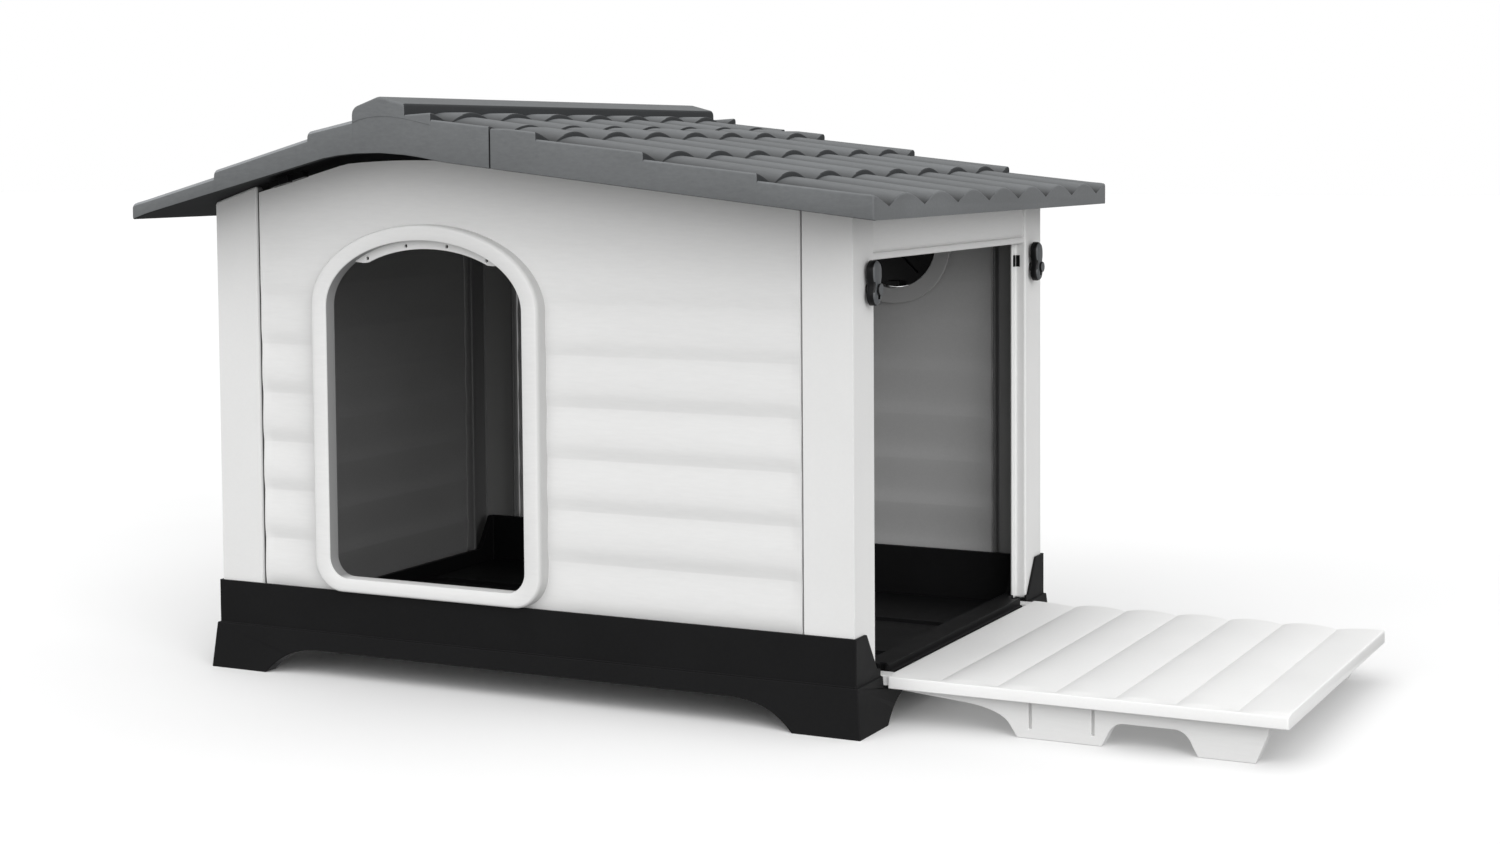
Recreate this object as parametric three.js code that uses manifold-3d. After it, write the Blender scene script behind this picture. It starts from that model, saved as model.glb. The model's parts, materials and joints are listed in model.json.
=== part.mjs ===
// Moulded plastic animal house: tiled gable roof, wave-sided walls, footed base tray,
// arched entrance and a fold-down side door that lies open as a veranda on two leg rails.
// Millimetres, +Z up, entrance facing -Y, side door facing +X.
import * as THREE from 'three';
import { mergeVertices } from 'three/addons/utils/BufferGeometryUtils.js';
import Module from 'manifold-3d';

const wasm = await Module();
wasm.setup();

// ---------------------------------------------------------------- driving dimensions
const GAP = 0.3;                    // air left between pieces that touch

const ROOF_HALF_LENGTH = 555;       // along X
const ROOF_HALF_DEPTH = 420;        // along Y
const RIDGE_X = -142;
const RIDGE_Z = 790;
const RIDGE_UNDERSIDE_Z = 760;
const LEFT_EAVE_Z = 630;            // lowest edge of the left eave
const RIGHT_EAVE_Z = 635;
const ROOF_JOINT_X = 27;            // the two roof mouldings meet here
const FASCIA_THICKNESS = 9;

const POST_X = 486;                 // outer faces of the corner posts
const POST_Y = 329;
const POST_INNER_X = 417;           // front and back panels end here
const POST_INNER_Y = 266;           // end panels and the side doorway end here
const POST_SKIN = 6;
const RETURN_SKIN = 5;
const STOP_LIP = 10;                // lip that the closed side door rests against
const STOP_FACE_X = 470.5;

const PANEL_SKIN = 5;
const PANEL_SET_BACK = 2;           // wave crests behind the post faces
const WAVE_PITCH = 67.3;
const WAVE_DEPTH = 6;
const FIRST_GROOVE_Z = 185.5;
const WALL_FOOT_Z = 66;             // walls stand in the base channel at this height

const BASE_TOP_Z = 122;
const BASE_X = 489.7;               // upper part of the base wall
const BASE_Y = 332.7;
const LEDGE_Z = 62.5;
const LEDGE_OUT = 3;
const SKIRT_FLARE = 6;
const FLOOR_TOP_Z = 49;
const FLOOR_THICKNESS = 6;
const CHANNEL_X = 23.6;             // channel widths behind the outer base wall
const CHANNEL_Y = 18.6;
const BASE_SKIN = 3.4;
const INNER_WALL = 8;
const FOOT_SKIN = 12;
const FOOT_X = 405;                 // inner ends of the feet
const FOOT_Y = 256;
const FOOT_CURVE = 95;
const UNDER_ARCH_Z = 37;
const THRESHOLD_Z = 72;
const THRESHOLD_HALF = 268;
const CUTOUT_TOP_HALF = 303;

const ARCH_X = -135;
const ARCH_HALF = 155.5;
const ARCH_BOTTOM_Z = 142;
const ARCH_SPRING_Z = 510;
const ARCH_RISE = 91;
const ARCH_CORNER = 28;
const FRAME_BAND = 26;
const FRAME_BAND_TOP = 21;
const FRAME_BAND_BOTTOM = 19.5;
const FRAME_PROJECTION = 16.5;
const FRAME_DEPTH = 19;
const SLEEVE_SKIN = 4;
const LIP_SKIN = 5;
const LIP_DROP = 12;
const LIP_CROWN_DROP = 20;
const LIP_FROM_Z = 562;
const FLAP_HOLE_R = 2.5;
const FLAP_HOLE_IN = 6;
const FLAP_HOLE_CROWN_IN = 10;
const FLAP_HOLE_ANGLES = [-0.69, -0.22, 0.22, 0.69];

const LINTEL_Z = 583;
const LEFT_LINTEL_TOP_Z = 649.5;
const RIGHT_LINTEL_TOP_Z = 650.5;
const VENT_X = 259;
const VENT_Z = 578;
const VENT_RING_R = 92;
const VENT_HOLE_R = 74;
const VENT_BORE_R = 68;
const VENT_HUB_R = 4;
const VENT_SECTORS = 4;
const VENT_PLATE = 3.5;             // grille and shutter thickness
const VENT_FLANGE = 5;
const VENT_SLOT = { reach: 38, width: 16, depth: 30 };
const GRIP = { half: 11, out: 14, height: 7, up: 3 };

const HINGE_X = 480;
const HINGE_Z = 56.7;
const DOOR_NEAR_X = 500;
const DOOR_FAR_X = 1003;
const DOOR_HALF = 261.7;
const DOOR_BOTTOM_Z = 48;
const DOOR_TOP_Z = 65;
const DOOR_SKIN = 6;
const DOOR_RIM = 7;
const DOOR_GROOVE = 3.5;
const DOOR_PITCH = 75;
const DOOR_FIRST_GROOVE_X = 564;
const DOOR_GROOVES = 6;
const TAB_Y = 247;                  // centre of each hinge tab
const TAB_WIDTH = 22;
const TAB_R = 6.7;
const PIN_R = 4.2;
const PIN_OUT = 6;                  // stub beyond each side of a tab
const PIN_PLAY = 0.4;
const TAB_PLAY = 1;
const TAB_ROOM = 2;                 // turning room around a tab
const SLOT_TOP_Z = 90;              // open top of the hinge slots
const LEG_Y = 235;
const LEG_THICKNESS = 18;

const LATCH_Y = 287;
const LATCH_Z = 546.5;
const LATCH_STAND_OFF = 4;
const LATCH_THICKNESS = 12;
const LATCH_WIDTH = 25;
const LATCH_LONG_ARM = 36;
const LATCH_SHORT_ARM = 20;
const LATCH_BORE_R = 4.3;
const LATCH_WAIST = { low: -2, middle: 6, high: 14, in: 5 };

const SHAFT_IN = 16;                // pivot shaft behind the post face
const COLLAR_R = 7;
const HEAD_R = 7.5;
const HEAD_THICKNESS = 3;

const CLIP_LEFT_X = -356;
const CLIP_LEFT_LIFT = 3;           // clip centre above the wall's top edge
const CLIP_RIGHT_X = 340;
const CLIP_RIGHT_LIFT = 7.5;

const PAST = 5;                     // cutters run this far past the faces they open
const THROUGH = 600;                // half length of a cutter that passes the whole house
const SKY = 900;                    // a height above everything

const MODEL_CENTRE_X = (DOOR_FAR_X - ROOF_HALF_LENGTH) / 2;

// ---------------------------------------------------------------- materials
const plastic = (color, roughness) => new THREE.MeshStandardMaterial({ color, roughness, metalness: 0 });
const WHITE = plastic(0xe6e6e4, 0.55);
const GREY = plastic(0x66696b, 0.6);
const BLACK = plastic(0x1b1b1c, 0.5);

// ---------------------------------------------------------------- shape helpers
function outline(points) {
  return new THREE.Shape(points.map(([a, b]) => new THREE.Vector2(a, b)));
}

function solid(geometry) {
  const bare = geometry.clone();
  bare.deleteAttribute('normal');
  bare.deleteAttribute('uv');
  const merged = mergeVertices(bare, 1e-4);
  return new wasm.Manifold(new wasm.Mesh({
    numProp: 3,
    vertProperties: new Float32Array(merged.attributes.position.array),
    triVerts: new Uint32Array(merged.index.array),
  }));
}

function geometryOf(manifold) {
  const mesh = manifold.getMesh();
  const geometry = new THREE.BufferGeometry();
  geometry.setAttribute('position', new THREE.BufferAttribute(new Float32Array(mesh.vertProperties), 3));
  geometry.setIndex(new THREE.BufferAttribute(new Uint32Array(mesh.triVerts), 1));
  geometry.computeVertexNormals();
  return geometry;
}

// A shape drawn in (y, z), pushed along X.
function alongX(shape, x0, x1) {
  const geometry = new THREE.ExtrudeGeometry(shape, { depth: x1 - x0, bevelEnabled: false, curveSegments: 12 });
  return solid(geometry.applyMatrix4(new THREE.Matrix4().set(0, 0, 1, x0, 1, 0, 0, 0, 0, 1, 0, 0, 0, 0, 0, 1)));
}

// A shape drawn in (x, z), pushed along Y.
function alongY(shape, y0, y1, curveSegments = 12) {
  const geometry = new THREE.ExtrudeGeometry(shape, { depth: y1 - y0, bevelEnabled: false, curveSegments });
  return solid(geometry.rotateX(Math.PI / 2).translate(0, y1, 0));
}

// A shape drawn in (x, y), pushed along Z.
function alongZ(shape, z0, z1) {
  const geometry = new THREE.ExtrudeGeometry(shape, { depth: z1 - z0, bevelEnabled: false, curveSegments: 12 });
  return solid(geometry.translate(0, 0, z0));
}

function box(x0, x1, y0, y1, z0, z1) {
  const geometry = new THREE.BoxGeometry(x1 - x0, y1 - y0, z1 - z0);
  return solid(geometry.translate((x0 + x1) / 2, (y0 + y1) / 2, (z0 + z1) / 2));
}

function centredBox(halfX, halfY, z0, z1) {
  return box(-halfX, halfX, -halfY, halfY, z0, z1);
}

// A box whose foot is larger than its top.
function taperedBox(halfX, halfY, flare, z0, z1) {
  const geometry = new THREE.BoxGeometry(2 * halfX, 2 * halfY, z1 - z0).translate(0, 0, (z0 + z1) / 2);
  const position = geometry.attributes.position;
  for (let i = 0; i < position.count; i += 1) {
    const grow = position.getZ(i) < (z0 + z1) / 2 ? flare : 0;
    position.setX(i, position.getX(i) + Math.sign(position.getX(i)) * grow);
    position.setY(i, position.getY(i) + Math.sign(position.getY(i)) * grow);
  }
  return solid(geometry);
}

function rodX(x0, x1, y, z, radius, sides = 24) {
  const geometry = new THREE.CylinderGeometry(radius, radius, x1 - x0, sides);
  return solid(geometry.rotateZ(Math.PI / 2).translate((x0 + x1) / 2, y, z));
}

function rodY(y0, y1, x, z, radius, sides = 24) {
  const geometry = new THREE.CylinderGeometry(radius, radius, y1 - y0, sides);
  return solid(geometry.translate(x, (y0 + y1) / 2, z));
}

function piece(name, manifold, material) {
  const mesh = new THREE.Mesh(geometryOf(manifold), material);
  mesh.name = name;
  return mesh;
}

// ---------------------------------------------------------------- roof lines
// Tile courses seen from the front: each step is the lower edge of the course above.
const ROOF_TOP = [
  [-ROOF_HALF_LENGTH, 650], [-412, 689], [-412, 696], [-256, 739], [-256, 746], [-184, 763],
  [-184, 775], [RIDGE_X, RIDGE_Z], [-102, 779], [-102, 771], [-62, 767], [-62, 757],
  [95, 741], [95, 731], [248, 718], [248, 707], [403, 691], [403, 681], [ROOF_HALF_LENGTH, 663],
];

function roofUnderside() {
  return [
    [ROOF_HALF_LENGTH, RIGHT_EAVE_Z], [ROOF_HALF_LENGTH - 6, RIGHT_EAVE_Z],
    [ROOF_HALF_LENGTH - 6, RIGHT_EAVE_Z + 6], [RIDGE_X, RIDGE_UNDERSIDE_Z],
    [-ROOF_HALF_LENGTH + 6, LEFT_EAVE_Z], [-ROOF_HALF_LENGTH, LEFT_EAVE_Z],
  ];
}

// The gable board hangs below the tiles with a shallow arch under the ridge.
function fasciaShape() {
  const shape = outline(ROOF_TOP);
  shape.lineTo(ROOF_HALF_LENGTH, RIGHT_EAVE_Z);
  shape.lineTo(-51, 705);
  shape.quadraticCurveTo(-150, 724, -226, 711);
  shape.lineTo(-ROOF_HALF_LENGTH, LEFT_EAVE_Z);
  return shape;
}

function roofHalf(name, x0, x1) {
  const shell = alongY(outline([...ROOF_TOP, ...roofUnderside()]), -ROOF_HALF_DEPTH, ROOF_HALF_DEPTH);
  const front = alongY(fasciaShape(), -ROOF_HALF_DEPTH, -ROOF_HALF_DEPTH + FASCIA_THICKNESS, 8);
  const back = alongY(fasciaShape(), ROOF_HALF_DEPTH - FASCIA_THICKNESS, ROOF_HALF_DEPTH, 8);
  const slice = box(x0, x1, -THROUGH, THROUGH, ARCH_SPRING_Z, SKY);
  return piece(name, shell.add(front).add(back).intersect(slice), GREY);
}

// Everything that stands under the roof is trimmed to this wedge.
function underRoof() {
  const wedge = [
    [-ROOF_HALF_LENGTH, 0], [ROOF_HALF_LENGTH, 0], [ROOF_HALF_LENGTH, RIGHT_EAVE_Z],
    [ROOF_HALF_LENGTH - 6, RIGHT_EAVE_Z + 6 - GAP], [RIDGE_X, RIDGE_UNDERSIDE_Z - GAP],
    [-ROOF_HALF_LENGTH + 6, LEFT_EAVE_Z - GAP], [-ROOF_HALF_LENGTH, LEFT_EAVE_Z - GAP],
  ];
  return alongY(outline(wedge), -ROOF_HALF_DEPTH, ROOF_HALF_DEPTH);
}

// ---------------------------------------------------------------- walls
// Straight parts of a long wall's top edge; a shallow curve joins them below the ridge.
const LEFT_TOP = { x: -265, z: 702, slope: 0.263 };
const RIGHT_TOP = { x: -50, z: 702.5, slope: -0.1017 };

function topLine(x) {
  const line = x < RIDGE_X ? LEFT_TOP : RIGHT_TOP;
  return line.z + line.slope * (x - line.x);
}

function wallShape(halfWidth) {
  const shape = new THREE.Shape();
  shape.moveTo(-halfWidth, WALL_FOOT_Z + GAP);
  shape.lineTo(halfWidth, WALL_FOOT_Z + GAP);
  shape.lineTo(halfWidth, topLine(halfWidth));
  shape.lineTo(RIGHT_TOP.x, RIGHT_TOP.z);
  shape.quadraticCurveTo(-165, 711, LEFT_TOP.x, LEFT_TOP.z);
  shape.lineTo(-halfWidth, topLine(-halfWidth));
  return shape;
}

// Depth of the siding below its crests at height z: planks are convex between sharp grooves.
function waveInset(z) {
  const turns = (z - FIRST_GROOVE_Z) / WAVE_PITCH;
  const u = turns - Math.floor(turns);
  return WAVE_DEPTH * (1 - Math.sqrt(Math.max(0, Math.sin(Math.PI * u))));
}

// Siding section as (distance from the house centre, z): outer face up, inner face down.
function sidingSection(crest, low, high) {
  const outer = [];
  const heights = [low];
  const firstPlank = Math.floor((low - FIRST_GROOVE_Z) / WAVE_PITCH);
  for (let plank = firstPlank; FIRST_GROOVE_Z + plank * WAVE_PITCH < high; plank += 1) {
    for (const u of [0, 0.08, 0.28, 0.72, 0.92]) {
      const z = FIRST_GROOVE_Z + (plank + u) * WAVE_PITCH;
      if (z > low + 1 && z < high - 1) heights.push(z);
    }
  }
  heights.push(high);
  for (const z of heights) outer.push([crest - waveInset(z), z]);
  const inner = outer.map(([d, z]) => [d - PANEL_SKIN, z]).reverse();
  return [...outer, ...inner];
}

const CREST_X = POST_X - PANEL_SET_BACK;
const CREST_Y = POST_Y - PANEL_SET_BACK;
const PANEL_HALF_X = POST_INNER_X - GAP;
const PANEL_HALF_Y = POST_INNER_Y - GAP;

function longPanel(side) {
  const section = sidingSection(CREST_Y, WALL_FOOT_Z + GAP, 712).map(([d, z]) => [side * d, z]);
  const sheet = alongX(outline(section), -PANEL_HALF_X, PANEL_HALF_X);
  return sheet.intersect(alongY(wallShape(PANEL_HALF_X), -ROOF_HALF_DEPTH, ROOF_HALF_DEPTH, 8));
}

function archShape(grow, growTop = grow, growBottom = grow) {
  const half = ARCH_HALF + grow;
  const low = ARCH_BOTTOM_Z - growBottom;
  const corner = ARCH_CORNER + grow * 0.6;
  const shape = new THREE.Shape();
  shape.moveTo(ARCH_X - half + corner, low);
  shape.lineTo(ARCH_X + half - corner, low);
  shape.absarc(ARCH_X + half - corner, low + corner, corner, -Math.PI / 2, 0);
  shape.absellipse(ARCH_X, ARCH_SPRING_Z, half, ARCH_RISE + growTop, 0, Math.PI);
  shape.absarc(ARCH_X - half + corner, low + corner, corner, Math.PI, Math.PI * 1.5);
  return shape;
}

function frontPanel() {
  const hole = alongY(archShape(SLEEVE_SKIN + GAP), -THROUGH, -PANEL_HALF_Y);
  return piece('front_panel', longPanel(-1).subtract(hole), WHITE);
}

// Moulded surround of the entrance, with a drilled lip at its crown for a hanging flap.
function archFrame() {
  const front = -CREST_Y - FRAME_PROJECTION;
  const rear = front + FRAME_DEPTH;
  const band = alongY(archShape(FRAME_BAND, FRAME_BAND_TOP, FRAME_BAND_BOTTOM), front, -CREST_Y - GAP);
  const sleeve = alongY(archShape(SLEEVE_SKIN), front + 1, rear);
  const bore = alongY(archShape(0), front - PAST, rear + PAST);
  const lip = alongY(archShape(SLEEVE_SKIN / 2), rear - LIP_SKIN, rear)
    .subtract(alongY(archShape(-LIP_DROP, -LIP_CROWN_DROP, -LIP_DROP), rear - LIP_SKIN - PAST, rear + PAST))
    .intersect(box(-THROUGH, THROUGH, -THROUGH, 0, LIP_FROM_Z, SKY));
  let frame = band.add(sleeve).subtract(bore).add(lip);
  for (const angle of FLAP_HOLE_ANGLES) {
    const x = ARCH_X + (ARCH_HALF - FLAP_HOLE_IN) * Math.sin(angle);
    const z = ARCH_SPRING_Z + (ARCH_RISE - FLAP_HOLE_CROWN_IN) * Math.cos(angle);
    frame = frame.subtract(rodY(rear - LIP_SKIN - PAST, rear + PAST, x, z, FLAP_HOLE_R, 10));
  }
  return piece('arch_frame', frame, WHITE);
}

function backPanel() {
  const hole = rodY(PANEL_HALF_Y, THROUGH, VENT_X, VENT_Z, VENT_HOLE_R + GAP, 36);
  return piece('back_panel', longPanel(1).subtract(hole), WHITE);
}

function leftEndPanel() {
  const top = LINTEL_Z - GAP;
  const section = sidingSection(CREST_X, WALL_FOOT_Z + GAP, top);
  // alongX draws in (y, z); the panel is turned a quarter round Z to face -X.
  const sheet = alongX(outline(section), -PANEL_HALF_Y, PANEL_HALF_Y);
  return piece('left_end_panel', sheet.rotate([0, 0, 90]), WHITE);
}

// Header over an end: an upright face with a return at its foot.
function lintel(name, side, top) {
  const face = CREST_X;
  const section = [
    [face, LINTEL_Z], [face, top], [face - POST_SKIN, top], [face - POST_SKIN, LINTEL_Z + POST_SKIN],
    [STOP_FACE_X, LINTEL_Z + POST_SKIN], [STOP_FACE_X, LINTEL_Z],
  ];
  const bar = alongY(outline(section.map(([x, z]) => [side * x, z])), -PANEL_HALF_Y, PANEL_HALF_Y);
  return piece(name, bar.intersect(underRoof()), WHITE);
}

// Corner post: two faces, a return beside the long panel and a stop lip beside the end opening.
function cornerPost(name, sideX, sideY) {
  const lipY = POST_INNER_Y - STOP_LIP;
  const section = [
    [POST_INNER_X + GAP, POST_Y], [POST_X, POST_Y], [POST_X, POST_INNER_Y], [STOP_FACE_X, POST_INNER_Y],
    [STOP_FACE_X, lipY], [STOP_FACE_X - RETURN_SKIN, lipY],
    [STOP_FACE_X - RETURN_SKIN, POST_INNER_Y + RETURN_SKIN],
    [POST_X - POST_SKIN, POST_INNER_Y + RETURN_SKIN], [POST_X - POST_SKIN, POST_Y - POST_SKIN],
    [POST_INNER_X + GAP + RETURN_SKIN, POST_Y - POST_SKIN],
    [POST_INNER_X + GAP + RETURN_SKIN, POST_Y - CHANNEL_Y + 1], [POST_INNER_X + GAP, POST_Y - CHANNEL_Y + 1],
  ];
  const shape = outline(section.map(([x, y]) => [sideX * x, sideY * y]));
  let post = alongZ(shape, WALL_FOOT_Z + GAP, RIDGE_Z).intersect(underRoof());
  // The end panel and the lintel stop short of the lip on the closed end and butt against the return.
  if (sideX < 0) {
    const panelRoom = box(-POST_X - PAST, -STOP_FACE_X + 2 * PAST, -PANEL_HALF_Y - GAP, PANEL_HALF_Y + GAP, 0, SKY);
    post = post.subtract(panelRoom);
  }
  const lintelRoom = box(-POST_X, POST_X, -PANEL_HALF_Y - GAP, PANEL_HALF_Y + GAP, LINTEL_Z - GAP, SKY);
  post = post.subtract(lintelRoom);
  if (sideX > 0) {
    post = post.subtract(rodX(POST_X - 4 * PAST, POST_X + PAST, sideY * LATCH_Y, LATCH_Z, LATCH_BORE_R, 16));
  }
  return piece(name, post, WHITE);
}

// ---------------------------------------------------------------- base
// Underside arch between two feet, drawn across the opening and below the floor line.
function underArchShape(footInner) {
  const crown = footInner - FOOT_CURVE;
  const bend = FOOT_CURVE * 0.45;
  const shape = new THREE.Shape();
  shape.moveTo(-footInner, -PAST);
  shape.lineTo(footInner, -PAST);
  shape.lineTo(footInner, 0);
  shape.bezierCurveTo(footInner - bend * 0.6, UNDER_ARCH_Z * 0.75, crown + bend, UNDER_ARCH_Z, crown, UNDER_ARCH_Z);
  shape.lineTo(-crown, UNDER_ARCH_Z);
  shape.bezierCurveTo(-crown - bend, UNDER_ARCH_Z, -footInner + bend * 0.6, UNDER_ARCH_Z * 0.75, -footInner, 0);
  return shape;
}

function baseTray() {
  const channelOutX = BASE_X - BASE_SKIN;
  const channelOutY = BASE_Y - BASE_SKIN;
  const channelInX = channelOutX - CHANNEL_X;
  const channelInY = channelOutY - CHANNEL_Y;
  const sill = POST_INNER_Y - STOP_LIP - 2 * GAP;

  const skirt = taperedBox(BASE_X + LEDGE_OUT, BASE_Y + LEDGE_OUT, SKIRT_FLARE, 0, LEDGE_Z);
  const upper = centredBox(BASE_X, BASE_Y, LEDGE_Z - PAST, BASE_TOP_Z);
  const hollow = centredBox(BASE_X - FOOT_SKIN, BASE_Y - FOOT_SKIN, -PAST, FLOOR_TOP_Z - FLOOR_THICKNESS);
  const tray = centredBox(channelInX - INNER_WALL, channelInY - INNER_WALL, FLOOR_TOP_Z, BASE_TOP_Z + PAST);
  const channel = centredBox(channelOutX, channelOutY, WALL_FOOT_Z, BASE_TOP_Z + PAST)
    .subtract(centredBox(channelInX, channelInY, 0, SKY))
    .subtract(box(0, BASE_X, -sill, sill, 0, SKY));
  const cutout = alongX(outline([
    [-CUTOUT_TOP_HALF, BASE_TOP_Z + PAST], [-THRESHOLD_HALF, THRESHOLD_Z],
    [THRESHOLD_HALF, THRESHOLD_Z], [CUTOUT_TOP_HALF, BASE_TOP_Z + PAST],
  ]), channelInX - INNER_WALL - PAST, BASE_X + PAST);

  let base = skirt.add(upper).subtract(hollow).subtract(tray).subtract(channel);
  base = base.subtract(cutout).subtract(cutout.mirror([1, 0, 0]));
  base = base.subtract(alongY(underArchShape(FOOT_X), -THROUGH, THROUGH, 10));
  base = base.subtract(alongX(underArchShape(FOOT_Y), -THROUGH, THROUGH));
  for (const side of [-1, 1]) {
    const y = side * TAB_Y;
    const half = TAB_WIDTH / 2 + TAB_PLAY;
    const tabRoom = TAB_R + TAB_ROOM;
    base = base.subtract(box(HINGE_X - tabRoom, THROUGH, y - half, y + half, HINGE_Z - tabRoom, SLOT_TOP_Z));
    const reach = half + PIN_OUT;
    const pinRoom = PIN_R + PIN_PLAY;
    base = base.subtract(box(
      HINGE_X - pinRoom, HINGE_X + pinRoom, y - reach, y + reach, HINGE_Z - pinRoom, SLOT_TOP_Z,
    ));
  }
  return piece('base_tray', base, BLACK);
}

// ---------------------------------------------------------------- side door, drawn lying open
function doorSection() {
  const points = [[DOOR_NEAR_X, DOOR_BOTTOM_Z], [DOOR_NEAR_X, DOOR_TOP_Z - 1]];
  const grooves = Array.from({ length: DOOR_GROOVES }, (_, i) => DOOR_FIRST_GROOVE_X + i * DOOR_PITCH);
  const edges = [DOOR_NEAR_X, ...grooves, DOOR_FAR_X];
  for (let i = 0; i + 1 < edges.length; i += 1) {
    const width = edges[i + 1] - edges[i];
    points.push([edges[i] + width * 0.3, DOOR_TOP_Z], [edges[i] + width * 0.7, DOOR_TOP_Z]);
    if (i + 2 < edges.length) points.push([edges[i + 1], DOOR_TOP_Z - DOOR_GROOVE]);
  }
  points.push([DOOR_FAR_X, DOOR_TOP_Z - 1], [DOOR_FAR_X, DOOR_BOTTOM_Z]);
  return points;
}

function sideDoor() {
  const recessTop = DOOR_TOP_Z - DOOR_GROOVE - DOOR_SKIN;
  let door = alongY(outline(doorSection()), -DOOR_HALF, DOOR_HALF);
  door = door.subtract(box(
    DOOR_NEAR_X + DOOR_RIM, DOOR_FAR_X - DOOR_RIM, -DOOR_HALF + DOOR_RIM, DOOR_HALF - DOOR_RIM,
    DOOR_BOTTOM_Z - PAST, recessTop,
  ));
  for (const side of [-1, 1]) {
    const y0 = side * TAB_Y - TAB_WIDTH / 2;
    const y1 = side * TAB_Y + TAB_WIDTH / 2;
    const arm = box(HINGE_X, DOOR_NEAR_X + DOOR_RIM, y0, y1, HINGE_Z - TAB_R + 1, HINGE_Z + TAB_R);
    const knuckle = rodY(y0, y1, HINGE_X, HINGE_Z, TAB_R, 20);
    const pin = rodY(y0 - PIN_OUT, y1 + PIN_OUT, HINGE_X, HINGE_Z, PIN_R, 20);
    door = door.add(arm).add(knuckle).add(pin);
  }
  return piece('side_door', door, WHITE);
}

// Leg rail: a beam from the hinge side, a wide middle foot, a low arch and an outer foot.
function doorLeg(name, side) {
  const top = DOOR_TOP_Z - DOOR_GROOVE - DOOR_SKIN - GAP;
  const shape = new THREE.Shape();
  shape.moveTo(DOOR_NEAR_X + 12, top);
  shape.lineTo(DOOR_NEAR_X + 12, 43);
  shape.lineTo(600, 36);
  shape.quadraticCurveTo(645, 31, 655, 14);
  shape.lineTo(664, 0);
  shape.lineTo(772, 0);
  shape.lineTo(779, 14);
  shape.quadraticCurveTo(786, 30, 800, 30);
  shape.lineTo(864, 30);
  shape.quadraticCurveTo(878, 28, 884, 12);
  shape.lineTo(891, 0);
  shape.lineTo(960, 0);
  shape.lineTo(974, 34);
  shape.lineTo(978, top);
  const y0 = side * LEG_Y - LEG_THICKNESS / 2;
  return piece(name, alongY(shape, y0, y0 + LEG_THICKNESS, 5), WHITE);
}

// ---------------------------------------------------------------- latches, vent and clips
// Turn button, drawn in (y, z) about its pivot, with a waist beside the pivot.
function latchShape() {
  const half = LATCH_WIDTH / 2;
  const shape = new THREE.Shape();
  shape.moveTo(half, -LATCH_SHORT_ARM + half);
  shape.lineTo(half, LATCH_WAIST.low);
  shape.quadraticCurveTo(half - LATCH_WAIST.in, LATCH_WAIST.middle, half, LATCH_WAIST.high);
  shape.lineTo(half, LATCH_LONG_ARM - half);
  shape.absarc(0, LATCH_LONG_ARM - half, half, 0, Math.PI);
  shape.lineTo(-half, LATCH_WAIST.high);
  shape.quadraticCurveTo(-half + LATCH_WAIST.in, LATCH_WAIST.middle, -half, LATCH_WAIST.low);
  shape.lineTo(-half, -LATCH_SHORT_ARM + half);
  shape.absarc(0, -LATCH_SHORT_ARM + half, half, Math.PI, Math.PI * 2);
  return shape;
}

function latch(name, side) {
  const bore = rodX(-PAST, LATCH_THICKNESS + PAST, 0, 0, LATCH_BORE_R, 16);
  const mesh = piece(name, alongX(latchShape(), 0, LATCH_THICKNESS).subtract(bore), BLACK);
  mesh.position.set(POST_X + LATCH_STAND_OFF, side * LATCH_Y, LATCH_Z);
  return mesh;
}

// Headed pivot with a collar that holds the latch off the post.
function latchPivot(name, side) {
  const headFrom = LATCH_STAND_OFF + LATCH_THICKNESS + GAP;
  const shaft = rodX(-SHAFT_IN, headFrom + HEAD_THICKNESS / 2, 0, 0, LATCH_BORE_R - GAP, 16);
  const collar = rodX(GAP, LATCH_STAND_OFF - GAP, 0, 0, COLLAR_R, 16);
  const head = rodX(headFrom, headFrom + HEAD_THICKNESS, 0, 0, HEAD_R, 16);
  const mesh = piece(name, shaft.add(collar).add(head), BLACK);
  mesh.position.set(POST_X, side * LATCH_Y, LATCH_Z);
  return mesh;
}

// Round vent in the back panel: a ring clipped in from inside, a fixed grille and a shutter
// disc behind it. Both plates have the same slots, a half step apart when shut.
const VENT_IN_Y = CREST_Y - WAVE_DEPTH - PANEL_SKIN;

function ventRing() {
  const outerFace = CREST_Y + 2;
  const flange = rodY(VENT_IN_Y - VENT_FLANGE, VENT_IN_Y - GAP, VENT_X, VENT_Z, VENT_RING_R, 36);
  const tube = rodY(VENT_IN_Y - VENT_FLANGE, outerFace, VENT_X, VENT_Z, VENT_HOLE_R, 36);
  const bore = rodY(VENT_IN_Y - VENT_FLANGE - PAST, outerFace + PAST, VENT_X, VENT_Z, VENT_BORE_R, 36);
  return piece('vent_ring', flange.add(tube).subtract(bore), WHITE);
}

function slottedPlate(y, thickness, turn) {
  let plate = rodY(y, y + thickness, VENT_X, VENT_Z, VENT_BORE_R - 1, 36);
  for (let i = 0; i < VENT_SECTORS; i += 1) {
    const angle = ((i + turn) * Math.PI * 2) / VENT_SECTORS;
    const { reach, width, depth } = VENT_SLOT;
    const slot = new THREE.BoxGeometry(reach, depth, width).translate(reach, 0, 0).rotateY(angle);
    plate = plate.subtract(solid(slot.translate(VENT_X, y, VENT_Z)));
  }
  return plate;
}

function ventGrille() {
  const plate = slottedPlate(CREST_Y - 2, VENT_PLATE, 0);
  const hub = rodY(CREST_Y - 20, CREST_Y + 20, VENT_X, VENT_Z, VENT_HUB_R + GAP, 16);
  return piece('vent_grille', plate.subtract(hub), BLACK);
}

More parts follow.
